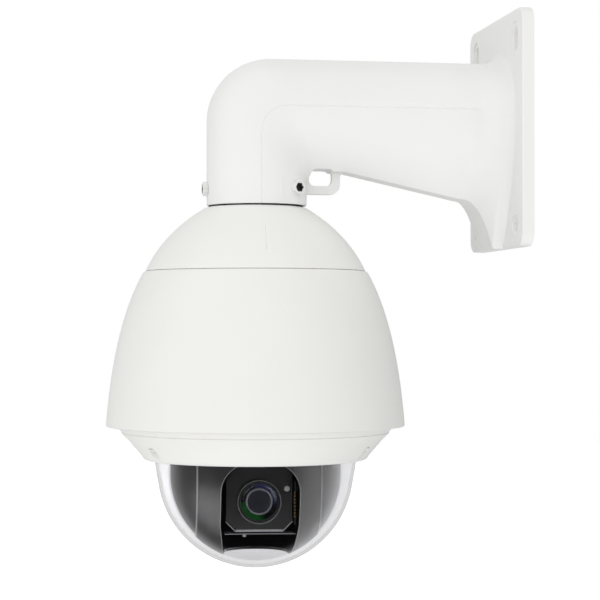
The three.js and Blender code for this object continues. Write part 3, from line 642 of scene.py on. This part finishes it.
def arm_paths():
    """Each section's path and how far it has changed from neck to arm."""
    pivot_x = ELBOW_R - TUBE_R
    pivot_z = TUBE_Z - pivot_x
    bend_x, bend_z = CREASE["x"] + CREASE["r"], CREASE["z"] - CREASE["r"]
    corner_x, corner_z = TUBE_R + CORNER_R, UNDERSIDE_Z - CORNER_R
    paths = []
    neck_steps, bend_steps, arm_steps = 16, 30, 64
    rim = [0.0, 0.0004, 0.0015, 0.0035, 0.007, 0.013]
    for t in rim + [i / neck_steps for i in range(1, neck_steps)]:
        heights = [lerp(NECK_Z, end, t) for end in (pivot_z, bend_z, corner_z)]
        xs = (-TUBE_R, CREASE["x"], TUBE_R)
        paths.append(([(x, z) for x, z in zip(xs, heights)], 0.0))
    for i in range(bend_steps + 1):
        a = math.pi / 2 * i / bend_steps
        c, s = -math.cos(a), math.sin(a)
        paths.append(([
            (pivot_x + ELBOW_R * c, pivot_z + ELBOW_R * s),
            (bend_x + CREASE["r"] * c, bend_z + CREASE["r"] * s),
            (corner_x + CORNER_R * c, corner_z + CORNER_R * s),
        ], smooth(i / bend_steps)))
    for i in range(1, arm_steps + 1):
        t = math.sin(math.pi / 2 * i / arm_steps) ** 0.9
        xs = [lerp(start, ARM_END, t) for start in (pivot_x, bend_x, corner_x)]
        top = TUBE_Z + TUBE_R + flare(xs[0], TOP_FLARE)
        paths.append(([(xs[0], top), (xs[1], CREASE["z"]), (xs[2], underside(xs[2]))], 1.0))
    return paths


def rim_rounding(z):
    """How far the neck's rounded rim draws in at height z."""
    t = 1 - max(0.0, min(1.0, (z - NECK_Z) / RIM_ROUND))
    return RIM_ROUND * (1 - math.sqrt(max(0.0, 1 - t * t)))


def arm_surface():
    """One closed loop of points per section, and how far each point stands proud."""
    lines = across_lines()
    loops, offsets = [], []
    for path, share in arm_paths():
        side = []
        for kind, along, proud in lines:
            neck = neck_line(kind, along, path)
            arm = arm_line(kind, along, path)
            x, z, half = (lerp(a, b, share) for a, b in zip(neck, arm))
            fade = 1 - smooth((x - CREASE["fade_from"]) / CREASE["fade_over"])
            offset = lerp(neck_proud(kind, along, proud), proud, share) * fade
            side.append((x, half, z, offset - rim_rounding(z) * (1 - share)))
        loop = [(x, -y, z) for x, y, z, _ in side] + [(x, y, z) for x, y, z, _ in side[-2:0:-1]]
        loops.append(loop)
        offsets += [p for *_, p in side] + [p for *_, p in side[-2:0:-1]]
    return loops, offsets


def arm_solid(name, loops, offsets):
    """The skinned arm with every point moved along its normal by its own offset."""
    points, faces = skin(loops)
    mesh = bpy.data.meshes.new(name)
    mesh.from_pydata([Vector(p) * MM for p in points], [], faces)
    bm = bmesh.new()
    bm.from_mesh(mesh)
    bmesh.ops.recalc_face_normals(bm, faces=bm.faces)
    walls = [f for f in bm.faces if len(f.verts) == 4]
    normals = [Vector((0, 0, 0)) for _ in bm.verts]
    for face in walls:
        for vertex in face.verts:
            normals[vertex.index] += face.normal * face.calc_area()
    bm.verts.ensure_lookup_table()
    for vertex, normal, offset in zip(bm.verts, normals, offsets):
        if normal.length > 0:
            vertex.co += normal.normalized() * offset * MM
    bm.to_mesh(mesh)
    bm.free()
    tidy_mesh(mesh)
    return add_object(name, mesh, DOME)


def neck_boss(azimuth, mirrored):
    """A flat-faced boss for a bolt, low where it leaves the neck and proud by the wall side."""
    edge, root = 0.6, TUBE_R - 9
    near, far, top, face = BOSS["near"], BOSS["far"], BOSS["top"], BOSS["face"]
    layers = [(0, root), (0, face - edge), (edge * 0.3, face - edge * 0.3), (edge, face)]
    loops = []
    for inset, d in layers:
        outline = rounded([(near + inset, NECK_Z + inset), (far - inset, NECK_Z + inset),
                           (far - inset, top - inset), (near + inset, top - inset)],
                          [0, 0, 5 - inset, 5 - inset], 8)
        loops.append([(d, -u if mirrored else u, z) for u, z in outline])
    boss = from_faces("boss", *skin(loops), turned(DOME, azimuth))
    keep = revolve("keep", [(0, NECK_Z), (TUBE_R + 2.2, NECK_Z), (TUBE_R + 2.2, -30), (0, -30)])
    return combine(boss, [keep], "INTERSECT")


def stadium(y, z, r, half_length):
    """An upright slot's outline, round at both ends."""
    straight = half_length - r
    return arc(r, (y, z + straight), 0, 180, 20) + arc(r, (y, z - straight), 180, 360, 20)


def wall_plate():
    """The plate that screws to the wall, with slots above and round holes below."""
    front, back, edge, half = REACH - PLATE_T, REACH, PLATE["edge"], PLATE["half"]
    loops, steps = [], 4
    for i in range(steps + 1):
        a = math.pi / 2 * i / steps
        inset, x = edge * (1 - math.sin(a)), front + edge * (1 - math.cos(a))
        outline = rectangle(-half + inset, half - inset, PLATE["bottom"] + inset, PLATE["top"] - inset,
                            PLATE["corner"] - inset, 8)
        loops.append([(x, y, z) for y, z in outline])
    loops.append([(back, y, z) for _, y, z in loops[-1]])
    plate = from_faces("plate", *skin(loops))
    cuts = []
    slot, hole = WALL_SLOT, WALL_ROUND
    for y in (-WALL_HOLE_Y, WALL_HOLE_Y):
        outlines = [(stadium(y, slot["z"], slot["r"], slot["half"]), 20),
                    (stadium(y, slot["z"], slot["recess_r"], slot["recess_half"]), 0.9),
                    (circle(hole["r"], y, hole["z"]), 20),
                    (circle(hole["recess_r"], y, hole["z"]), 1)]
        cuts += [flat_part("hole", [outline], front - 1, front + deep, "yz") for outline, deep in outlines]
    return combine(plate, cuts, "DIFFERENCE")


def lanyard_lug():
    """The flat eye for a safety lanyard under the arm."""
    def outline(inset):
        left, right, bottom, top = 30, 64 - inset, -46.4 + inset, -18
        under = UNDERSIDE_Z + inset
        corners = [(left, bottom), (right, bottom), (right, under), (72, under), (72, top), (left, top)]
        return rounded(corners, [0, 8 - inset, 4 + inset, 0, 0, 0], 8)

    edge, half = 0.9, 3
    steps = [(edge, 0), (edge * 0.3, edge * 0.3), (0, edge)]
    layers = [(inset, -half + rise) for inset, rise in steps]
    layers += [(inset, half - rise) for inset, rise in reversed(steps)]
    return from_faces("lug", *skin([[(x, y, z) for x, z in outline(inset)] for inset, y in layers]))


def lanyard_eye():
    """What the eye removes, from the lug and from the arm's lower edge above it."""
    return flat_part("eye", [rectangle(40, 57.8, -39.9, -27.6, 4.5, 8)], -30, 30)


def wall_arm():
    loops, offsets = arm_surface()
    arm = arm_solid("arm_casting", loops, offsets)
    cavity_end = 181
    inside = [loop for loop in loops if max(x for x, _, _ in loop) < cavity_end]
    count = len(inside) * len(inside[0])
    cavity = arm_solid("cavity", inside, [-ARM_WALL] * count)
    bore, low, high = TUBE_R - ARM_WALL, NECK_Z - 2, NECK_Z + 8
    mouth = revolve("mouth", [(0, low), (bore, low), (bore, high), (0, high)], steps=FINE)
    bosses = [neck_boss(azimuth, aside < 0) for azimuth, aside in BOLT_FACES.values() if aside]
    combine(arm, [wall_plate(), lanyard_lug(), *bosses], "UNION")
    r, near, far = CABLE_HOLE["r"], REACH - 20, REACH + 1
    duct = revolve("duct", [(0, near), (r, near), (r, far), (0, far)],
                   shifted(DOME, 0, 0, CABLE_HOLE["z"]), 64, "x")
    combine(arm, [cavity, mouth, duct, lanyard_eye()], "DIFFERENCE")
    dress(arm, "arm_white", "housing", ["wall_arm"], sharp=38)


# ---------------------------------------------------------------- bolts and screws
def hex_head(name, place, across, height, dish):
    """A hexagon head with a turned chamfer, a dished top, a washer face and a stub of shank."""
    apothem, shank, face = across / 2, 2.9, 0.7  # face is the top of the washer
    steps = 72
    flat = [apothem / math.cos((i * 360 / steps + 30) % 60 / 180 * math.pi - math.pi / 6)
            for i in range(steps)]
    chamfer = math.tan(math.radians(28))

    def level(radius, z):
        return [(z(r) if callable(z) else z, radius(r) * math.cos(2 * math.pi * i / steps),
                 radius(r) * math.sin(2 * math.pi * i / steps)) for i, r in enumerate(flat)]

    washer = apothem + 1.1
    levels = [
        level(lambda r: shank, -4.0),
        level(lambda r: shank, 0.0),
        level(lambda r: washer, 0.0),
        level(lambda r: washer, 0.45),
        level(lambda r: washer - 0.25, face),
        level(lambda r: r, face),
        level(lambda r: r, lambda r: face + height - (r - apothem * 0.94) * chamfer),
        level(lambda r: apothem * 0.94, face + height),
        level(lambda r: dish, face + height),
        level(lambda r: dish - 0.8, face + height - 0.9),
        level(lambda r: dish * 0.4, face + height - 1.9),
        level(lambda r: 0.02, face + height - 2.1),
    ]
    return from_faces(name, *skin(levels), place)


def lobed(r, depth, steps):
    """A six-lobed outline, as of a driver's socket."""
    outline = []
    for k in range(steps):
        a = 2 * math.pi * k / steps
        lobe = r + depth * math.cos(6 * a)
        outline.append((lobe * math.cos(a), lobe * math.sin(a)))
    return outline


def neck_bolts():
    across, height, dish = 9.4, 2.9, 3.6
    for side, (azimuth, aside) in BOLT_FACES.items():
        seat = BOSS["face"] if aside else TUBE_R
        place = shifted(turned(DOME, azimuth), seat - 0.1, aside, BOLT_Z)
        bolt = hex_head(f"bolt_{side}", place, across, height, dish)
        dress(bolt, "stainless_steel", "housing", [f"neck_bolt_{side}"], bevel=0.12, finish="bolt_steel")
        # The socket is a black lobed insert in the head's dish: painted shade for the dark recess of a
        # driver's socket.
        socket = flat_part(f"bolt_socket_shade_{side}", [lobed(3.1, 0.55, 72)], 1.0, 3.45, "yz", place)
        well = revolve("well", [(0, 2.3), (1.5, 2.3), (2.3, 4), (0, 4)], place, 48, "x")
        combine(socket, [well], "DIFFERENCE")
        dress(socket, "black_metal", "housing")


def ring_screws():
    """Pan-head screws with a six-lobed recess up in the ring's pockets."""
    head = [(0, -2.5), (2.0, -2.45), (3.2, -2.0), (3.7, -1.2), (3.8, -0.3)]
    shank = [(2, -0.3), (2, 16.5), (0, 16.5)]
    for i, azimuth in enumerate(RING_SCREW_AZIMUTHS):
        place = shifted(turned(DOME, azimuth), RING_SCREW_R, 0, POCKET_TOP)
        screw = revolve(f"ring_screw_head_{i + 1}", [*head, *shank], place, 48)
        recess = flat_part("recess", [lobed(1.25, 0.3, 48)], -3, -1.3, "xy", place)
        combine(screw, [recess], "DIFFERENCE")
        dress(screw, "stainless_steel", "housing", [f"ring_screw_{i + 1}"], finish="bolt_steel")


# ---------------------------------------------------------------- the dome's housing
def bezier_radius(z):
    """Radius of the cap's outside at height z."""
    outline = bezier(CAP, 48)
    return min(outline, key=lambda point: abs(point[1] - z))[0]


def cap():
    outside = bezier(CAP, 48)
    (r0, z0), (r1, z1), (r2, z2) = CAP
    inside = bezier([(r2 - 3.2, z2), (r1 - 2.2, z1 - 2.8), (r0 - 1, z0 - 4)], 24)
    mouth_r, wall = 28.3, 4
    mouth = [(mouth_r, z0), (35.6, z0), (36.6, z0 - 0.2)]
    seam = [(r2, z2), (r2 - 0.4, z2 - 0.35)]
    profile = [*mouth, *outside[1:-1], *seam, *inside, (mouth_r, z0 - wall)]
    fine = [MARK_AZIMUTH + (i - 12) * 0.17 for i in range(25)]
    shell = revolve("cap_shell", profile, extra=fine)
    for vertex in shell.data.vertices:
        x, y, z = (c / MM for c in vertex.co)
        r = math.hypot(x, y)
        t = (MARK_TOP - z) / MARK_LENGTH
        away = abs(math.radians(MARK_AZIMUTH) - math.atan2(y, x)) * r
        width = lerp(0.45, 1.5, t)
        on_outside = r > bezier_radius(z) - 1
        if 0 < t < 1 and on_outside:
            depth = 0.8 * smooth((width - away) / 0.5) * smooth(t * 8) * smooth((1 - t) * 30)
            vertex.co.x *= 1 - depth / r
            vertex.co.y *= 1 - depth / r
    dress(shell, "housing_white", "housing", ["top_cap"])


def shield():
    outside = bezier(SHIELD, 72)
    (r0, z0), (r1, z1), (r2, z2) = SHIELD
    bottom = z2 - 1
    crown = [(r0 - 2.4, z0), (r0 - 1.1, z0), (r0 - 0.35, z0 - 0.35)]
    lip_r = 104.4
    lip = [(r2 - 0.25, bottom + 0.35), (r2 - 1, bottom), (lip_r + 0.5, bottom),
           (lip_r, bottom + 0.5), (lip_r, bottom + 2.5)]
    inside = bezier([(r2 - 2.6, bottom + 3.5), (r1 - 2.6, z1 - 0.5), (r0 - 2.4, z0)], 36)
    shell = revolve("shield_shell", [*crown, *outside[1:], *lip, *inside[:-1]])
    dress(shell, "housing_white", "housing", ["sun_shield"])


def ring():
    """The trim ring under the shield, with a bead, a cone, a rolled lower edge and screw pockets."""
    z = RING_BOTTOM
    bead = [(103.4, -219), (103.0, -220.8), (99.6, -224.4), (99.6, -224.8), (100.0, -225.0)]
    cone = [(94.2, -230.7), (88.1, -238.2), (84.9, -241.9)]
    roll = arc(4.2, (80.7, z + 4.2), -18, -90, 10)
    profile = [(77, z + 0.6), (77.6, z), *reversed(roll), *reversed(cone), *reversed(bead),
               (98, -219), (90, -222), (82, -234), (82, -242), (77, -242)]
    moulding = revolve("ring_moulding", profile)
    r, hole_r, hole_top = 4.3, 2.2, -218
    pocket = [(0, z - 2), (r, z - 2), (r, POCKET_TOP - 0.4), (r - 0.4, POCKET_TOP),
              (hole_r, POCKET_TOP), (hole_r, hole_top), (0, hole_top)]
    pockets = []
    for azimuth in RING_SCREW_AZIMUTHS:
        place = shifted(turned(DOME, azimuth), RING_SCREW_R, 0, 0)
        pockets.append(revolve("pocket", pocket, place, 64))
    combine(moulding, pockets, "DIFFERENCE")
    dress(moulding, "housing_white", "housing", ["trim_ring"])


def bubble():
    tangent = math.degrees(math.asin((-262 - BUBBLE_Z) / BUBBLE_R))
    outside = arc(BUBBLE_R, (0, BUBBLE_Z), -90, tangent, 72)
    inside = arc(BUBBLE_R - BUBBLE_WALL, (0, BUBBLE_Z), tangent, -90, 72)
    outside[0] = (0, outside[0][1])
    inside[-1] = (0, inside[-1][1])
    neck = bezier([outside[-1], (74.6, -253), (76, -240.5)], 10)[1:]
    flange = [(81.5, -240.5), (81.5, -238.1), (73.5, -238.1)]
    inner_neck = bezier([(73.5, -239), (72.1, -253), inside[0]], 10)[:-1]
    shell = revolve("bubble_shell", [*outside, *neck, *flange, *inner_neck, *inside])
    dress(shell, "clear_bubble", "housing", ["bubble"])
    shell.visible_shadow = False


# ---------------------------------------------------------------- the ball-shaped liner
def ball(name, r):
    edge = -math.degrees(math.acos(BALL_MOUTH_R / r))
    inner_edge = -math.degrees(math.acos(BALL_MOUTH_R / (r - BALL_WALL)))
    outside = arc(r, (0, BALL_Z), edge, 0, 48)
    inside = arc(r - BALL_WALL, (0, BALL_Z), 0, inner_edge, 40)
    return revolve(name, [*outside, (r, BALL_TOP), (r - BALL_WALL, BALL_TOP), *inside], PAN)


def box(name, xs, ys, zs, place=PAN):
    points = [(x, y, z) for x in xs for y in ys for z in zs]
    faces = [(0, 1, 3, 2), (4, 6, 7, 5), (0, 4, 5, 1), (2, 3, 7, 6), (0, 2, 6, 4), (1, 5, 7, 3)]
    return from_faces(name, points, faces, place)


def slot_outline(outset=0.0):
    """The slot that the camera looks through, drawn in X and Z, widened by outset."""
    half, bottom_half = 28 + outset, 24 + outset
    taper_z, top_z, corner = -290, -243.5 + outset, 21.5 + outset
    corners = [(-bottom_half, -335), (bottom_half, -335), (bottom_half, -318), (half, taper_z),
               (half, top_z), (-half, top_z), (-half, taper_z), (-bottom_half, -318)]
    return rounded(corners, [0, 0, 20, 20, corner, corner, 20, 20], 10)


def liner():
    band = ball("liner_middle", BALL_R)
    keep = box("keep", (-BAND_HALF, BAND_HALF), (-90, 90), (-330, -200))
    combine(band, [keep], "INTERSECT")
    combine(band, [flat_part("slot", [slot_outline()], -90, 0, "xz", PAN)], "DIFFERENCE")
    dress(band, "liner_black", "pan_unit", ["liner_band"], bevel=0.55)
    # The slot's rim and the two steps are thin light grey pieces: painted highlights along edges of the
    # black liner that catch the light.
    rim = ball("liner_slot_rim_highlight", BALL_R + 0.1)
    rim_outlines = [slot_outline(0.55), slot_outline(0.1)]
    combine(rim, [flat_part("frame", rim_outlines, -90, -5, "xz", PAN)], "INTERSECT")
    dress(rim, "liner_black", "pan_unit", finish="painted_edge_highlight")
    for side, sign in (("left", -1), ("right", 1)):
        step = ball(f"liner_step_highlight_{side}", BALL_R + 0.1)
        xs = sorted((sign * (BAND_HALF - 0.9), sign * (BAND_HALF + 0.2)))
        combine(step, [box("keep", xs, (-90, 90), (-330, -200))], "INTERSECT")
        dress(step, "liner_black", "pan_unit", finish="painted_edge_highlight")
        cheek = ball(f"liner_{side}", BALL_R - 1.2)
        xs = sorted((sign * (BAND_HALF + 0.35), sign * 90))
        combine(cheek, [box("keep", xs, (-90, 90), (-330, -200))], "INTERSECT")
        dress(cheek, "liner_black", "pan_unit", [f"liner_cheek_{side}"], bevel=0.4)


# ---------------------------------------------------------------- the camera's front
def face_plate():
    """The front plate: a wide lower chamfer, cut corners, a screw pocket and a seam."""
    half, low, high, cut = 24.2, -294.6, -240, 7.2
    y = FACE_Y

    def outline(side, foot, corner):
        right = [(half - cut + corner, low + foot), (half - side, low + cut - corner + 0.6),
                 (half - side, high)]
        return [*right, *[(-x, z) for x, z in reversed(right)]]

    back = [(x, y + 2.6, z) for x, z in outline(0, 0, 0)]
    edge = [(x, y + 1.6, z) for x, z in outline(0, 0, 0)]
    front = [(x, y, z) for x, z in outline(0.35, 1.8, -0.5)]
    points, faces = skin([back, edge, front])
    plate = from_faces("face_bezel", points, faces, PAN)
    cuts = [
        revolve("bore", [(0, y - 2), (16.2, y - 2), (16.2, y + 4), (0, y + 4)], LENS, FINE, "y"),
        box("pocket", (15.9, 25), (y - 1, y + 0.7), (-267.4, -258.9)),
        box("seam", (-16.7, -16.2), (y - 1, y + 0.35), (-266.4, -239)),
        box("notch", (-17.6, -16.0), (y - 1, y + 0.6), (-267.6, -265.4)),
        revolve("hole", [(0, y - 2), (1.4, y - 2), (1.4, y + 4), (0, y + 4)],
                shifted(PAN, 20.2, 0, -263.6), 32, "y"),
    ]
    combine(plate, cuts, "DIFFERENCE")
    dress(plate, "black_plastic", "tilt_unit", ["face_plate"], bevel=0.22)


def lens_parts():
    """The lens seen from the front: barrel, ring, funnel, inner ring and glass."""
    barrel = revolve("lens_tube", [
        (15.9, -30.3), (15.9, -42.6), (15.5, -43.0), (15.0, -43.0), (14.7, -42.4), (14.3, -42.4),
        (14.3, -43.6), (14.1, -43.9), (13.7, -43.9), (13.4, -43.5), (13.4, -30.3),
    ], LENS, FINE, "y")
    dress(barrel, "black_plastic", "tilt_unit", ["lens_barrel"], bevel=0.1)
    # The rim is a dark grey instead of black metal: a painted highlight along its edges.
    rim = revolve("lens_rim", [
        (16.0, -43.3), (16.0, -44.6), (15.8, -45.0), (15.4, -45.0), (15.1, -44.5), (15.1, -43.3),
    ], LENS, FINE, "y")
    dress(rim, "black_metal", "tilt_unit", ["lens_ring"], bevel=0.1, finish="painted_dark_edge_highlight")
    funnel = revolve("lens_funnel", [
        (13.3, -42.8), (12.9, -42.9), (11.4, -41.6), (9.9, -40.6), (9.9, -36.0), (13.3, -36.0),
    ], LENS, FINE, "y")
    dress(funnel, "black_plastic", "tilt_unit", finish="funnel_with_painted_reflections")
    inner = revolve("lens_inner_ring", [
        (9.85, -40.4), (9.6, -41.5), (9.2, -41.8), (8.8, -41.6), (8.5, -40.8), (8.5, -36.0), (9.85, -36.0),
    ], LENS, FINE, "y")
    dress(inner, "black_metal", "tilt_unit", finish="ring_metal")
    dome = [(8.5 * i / 16, -42.0 + 1.3 * (i / 16) ** 2) for i in range(17)]
    glass = revolve("lens_front_glass", [*dome, (8.5, -38.6), (0, -38.6)], LENS, FINE, "y")
    dress(glass, "lens_glass", "tilt_unit", ["front_lens"], finish="lens_inner")


def bar(name, start, end, width, near, far):
    """A thin straight bar drawn between two points in X and Z, in a light grey that paints a highlight on
    an edge.
    """
    along = (Vector(end) - Vector(start)).normalized() * width / 2
    across = Vector((-along.y, along.x))
    corners = [Vector(start) - across, Vector(end) - across, Vector(end) + across, Vector(start) + across]
    loops = [[(x, y, z) for x, z in corners] for y in (near, far)]
    piece = from_faces(name, *skin(loops), PAN)
    dress(piece, "black_plastic", "tilt_unit", finish="painted_edge_highlight", bevel=0.08)


def face_edge_highlights():
    """Light grey bars as painted highlights along the edges round the foot of the face plate, and along the
    tray's lip below it.
    """
    low, cut, half = -294.6, 7.2, 24.2
    inner = half - cut
    bar("face_lip_highlight", (-inner, low + 0.9), (inner, low + 0.9), 1.7, FACE_Y + 0.15, FACE_Y + 1.0)
    for side, sign in (("left", -1), ("right", 1)):
        bar(f"face_corner_highlight_{side}", (sign * inner, low + 0.3), (sign * half, low + cut + 0.3), 0.6,
            FACE_Y + 0.1, FACE_Y + 1.0)
    bar("tray_lip_highlight", (-24.6, -296.4), (26.4, -296.4), 0.6, -38.0, -36.8)


def front_details():
    """The face screw, its ledge, the signal board with its contacts and the cradle's clip."""
    place = shifted(PAN, 20.2, 0, -263.6)
    screw = revolve("face_screw_head", [
        (0, FACE_Y - 1.3), (1.2, FACE_Y - 1.25), (1.9, FACE_Y - 0.8), (2.1, FACE_Y - 0.1),
        (2.1, FACE_Y + 0.4), (1.0, FACE_Y + 0.4), (1.0, -33), (0, -33),
    ], place, 32, "y")
    cross = [box("cross", (-1.1, 1.1), (FACE_Y - 2, FACE_Y - 0.3), (-0.35, 0.35), place),
             box("cross", (-0.35, 0.35), (FACE_Y - 2, FACE_Y - 0.3), (-1.1, 1.1), place)]
    combine(screw, cross, "DIFFERENCE")
    dress(screw, "stainless_steel", "tilt_unit", ["face_screw"], finish="bolt_steel")
    ledge = box("face_ledge", (16.6, 23.6), (FACE_Y - 0.45, FACE_Y + 0.9), (-258.9, -258.3))
    dress(ledge, "black_plastic", "tilt_unit", bevel=0.15)

    board = box("signal_board_edge", (25.7, 26.9), (-38.6, -14.3), (-290, -258))
    dress(board, "circuit_board", "tilt_unit", ["signal_board"], bevel=0.1, finish="black_plastic")
    for i in range(8):
        z = -266.8 - 2.45 * i
        contact = box(f"contact_{i + 1}", (25.1, 26.9), (-39.6, -38.0), (z - 0.75, z + 0.75))
        dress(contact, "brass", "tilt_unit", finish="gold_contact", bevel=0.3)

    clip = box("tray_clip", (-11.6, -9.2), (-36.6, -34.6), (-298.6, -296.3))
    combine(clip, [box("bite", (-10.6, -8.8), (-38, -35.4), (-297.3, -296))], "DIFFERENCE")
    dress(clip, "stainless_steel", "tilt_unit", bevel=0.2, finish="bolt_steel")


# ---------------------------------------------------------------- nodes that stay as imported
INNER_FINISHES = {
    "cast_aluminium": ["neck_adapter", "inner_housing", "bubble_retainer", "chassis_plate", "heater_block"],
    "brass": ["adapter_nut", "chassis_post_1", "chassis_post_2", "chassis_post_3", "pan_pinion",
              "slip_ring_rotor", "tilt_pinion"],
    "rubber_seal": ["neck_seal", "cap_seal", "bubble_seal", "pan_belt", "tilt_belt"],
    "circuit_board": ["power_board", "main_board", "sensor_board"],
    "black_metal": ["pan_motor", "yoke", "tilt_motor", "camera_cradle", "face_bracket"],
    "black_plastic": ["slip_ring_stator", "fan_frame", "fan_rotor", "pan_pulley", "tilt_pulley",
                      "camera_block", "image_sensor"],
    "stainless_steel": ["pan_bearing_outer", "pan_bearing_inner", "pan_shaft",
                        "tilt_bearing_left", "tilt_bearing_right"],
    "lens_glass": ["zoom_group", "focus_group", "ir_cut_filter"],
}


def dress_inner_parts():
    for slot, names in INNER_FINISHES.items():
        for name in names:
            node = frame["nodes"][name]
            node.data.materials.clear()
            node.data.materials.append(MATERIALS[slot])
            bevelled(node, 0.15, 1, 50)


# ---------------------------------------------------------------- studio
VIEW_YAW = math.radians(9.6)
VIEW_PITCH = math.radians(0.81)
VIEW_DISTANCE = 1425
VIEW_OFFSET = 33.3
VIEW_HEIGHT = -146
AHEAD = Vector((math.sin(VIEW_YAW), math.cos(VIEW_YAW), 0))
RIGHT = Vector((math.cos(VIEW_YAW), -math.sin(VIEW_YAW), 0))


def camera():
    data = bpy.data.cameras.new("camera")
    data.sensor_width = 36
    data.lens = 114
    data.clip_end = 50
    obj = bpy.data.objects.new("camera", data)
    bpy.context.scene.collection.objects.link(obj)
    at = (RIGHT * VIEW_OFFSET - AHEAD * VIEW_DISTANCE) * MM
    obj.location = (AXIS_X + at.x, at.y, VIEW_HEIGHT * MM)
    obj.rotation_euler = (math.pi / 2 + VIEW_PITCH, 0, -VIEW_YAW)
    bpy.context.scene.camera = obj


def world():
    """Soft light from all round. The camera sees plain white, and gloss mirrors a dark room. What
    is inside the bubble mirrors a bright right-hand wall and a pale lower left as well."""
    made = bpy.data.worlds.new("studio")
    made.use_nodes = True
    bpy.context.scene.world = made
    tree = made.node_tree
    nodes, links = tree.nodes, tree.links
    direction = nodes.new("ShaderNodeTexCoord").outputs["Generated"]
    rays = nodes.new("ShaderNodeLightPath")

    def along(axis, low, high, low_value, high_value):
        """Brightness that changes smoothly with how far the direction points along an axis."""
        dot = nodes.new("ShaderNodeVectorMath")
        dot.operation = "DOT_PRODUCT"
        dot.inputs[1].default_value = axis.normalized()
        links.new(direction, dot.inputs[0])
        ranged = nodes.new("ShaderNodeMapRange")
        ranged.interpolation_type = "SMOOTHSTEP"
        links.new(dot.outputs["Value"], ranged.inputs["Value"])
        set_range(ranged, low, high, low_value, high_value)
        return ranged.outputs["Result"]

    def added(a, b):
        total = nodes.new("ShaderNodeMath")
        links.new(a, total.inputs[0])
        links.new(b, total.inputs[1])
        return total.outputs["Value"]

    def background(colour, strength):
        shade = nodes.new("ShaderNodeBackground")
        shade.inputs["Color"].default_value = (*colour, 1)
        if isinstance(strength, float):
            shade.inputs["Strength"].default_value = strength
        else:
            links.new(strength, shade.inputs["Strength"])
        return shade.outputs[0]

    def either(ray, otherwise, shade, more_than=0.5):
        """The second shade for rays of that kind, or that have bounced that way more often."""
        chosen = nodes.new("ShaderNodeMath")
        chosen.operation = "GREATER_THAN"
        chosen.inputs[1].default_value = more_than
        links.new(rays.outputs[ray], chosen.inputs[0])
        mix = nodes.new("ShaderNodeMixShader")
        links.new(chosen.outputs["Value"], mix.inputs[0])
        links.new(otherwise, mix.inputs[1])
        links.new(shade, mix.inputs[2])
        return mix.outputs[0]

    up = Vector((0, 0, 1))
    key_turn = math.radians(20)
    key = -AHEAD * math.cos(key_turn) - RIGHT * math.sin(key_turn)
    above_and_below = added(along(-up, 0.0, 1.0, 0.0, 0.8), along(up, 0.0, 1.0, 0.0, 0.32))
    ambient = added(along(key, -1.0, 1.0, 0.24, 1.13), above_and_below)
    left_wall = along(-RIGHT + AHEAD * 0.45, 0.5, 1.0, 0.012, 0.12)
    behind = along(AHEAD, 0.3, 0.8, 0.0, 0.7)
    mirrored = added(left_wall, behind)
    right_wall = along(RIGHT + AHEAD * 0.3 - up * 0.3, 0.3, 0.95, 0.2, 1.9)
    low_left = along(-RIGHT * 0.72 - AHEAD * 0.28 - up * 0.63, 0.8, 1.0, 0.0, 2.3)

    white = background((1, 1, 1), 1.0)
    dim = background((1, 1, 1), 0.6)
    through = background((0.985, 0.98, 1.0), 0.92)
    glossy = background((1, 1, 1), mirrored)
    # Light that has crossed the bubble's wall both ways has been inside it.
    inside = background((1, 1, 1), added(added(mirrored, right_wall), low_left))
    through = either("Glossy Depth", through, either("Transmission Depth", glossy, inside, 3.5))
    # The bubble casts no shadow, so the world's own sampling already lights most of what is inside.
    through = either("Diffuse Depth", through, dim)
    shade = background((1, 1, 1), ambient)
    shade = either("Is Glossy Ray", shade, glossy)
    shade = either("Is Transmission Ray", shade, through)
    shade = either("Is Camera Ray", shade, white)
    links.new(shade, nodes["World Output"].inputs[0])


def floor():
    half, z = 6.0, -0.62
    mesh = bpy.data.meshes.new("floor")
    mesh.from_pydata([(x, y, z) for x, y in ((-half, -half), (half, -half), (half, half), (-half, half))],
                     [], [(0, 1, 2, 3)])
    obj = add_object("floor", mesh, Matrix.Identity(4))
    s = Shader("floor_paper")
    s.link(s.mix(s.noise(300, 3), (0.93, 0.93, 0.93), (0.96, 0.96, 0.96)), s.surface.inputs["Base Color"])
    s.set(Roughness=0.9, Emission_Color=(1, 1, 1, 1), Emission_Strength=0.4)
    mesh.materials.append(s.material)
    obj.visible_diffuse = False
    obj.visible_glossy = False
    obj.visible_transmission = False


def studio():
    bpy.context.scene.view_settings.view_transform = "Standard"
    bpy.context.scene.cycles.use_denoising = True
    camera()
    world()
    floor()


MATERIALS = make_materials()
studio()
wall_arm()
neck_bolts()
cap()
shield()
ring()
ring_screws()
bubble()
liner()
face_plate()
lens_parts()
front_details()
face_edge_highlights()
dress_inner_parts()
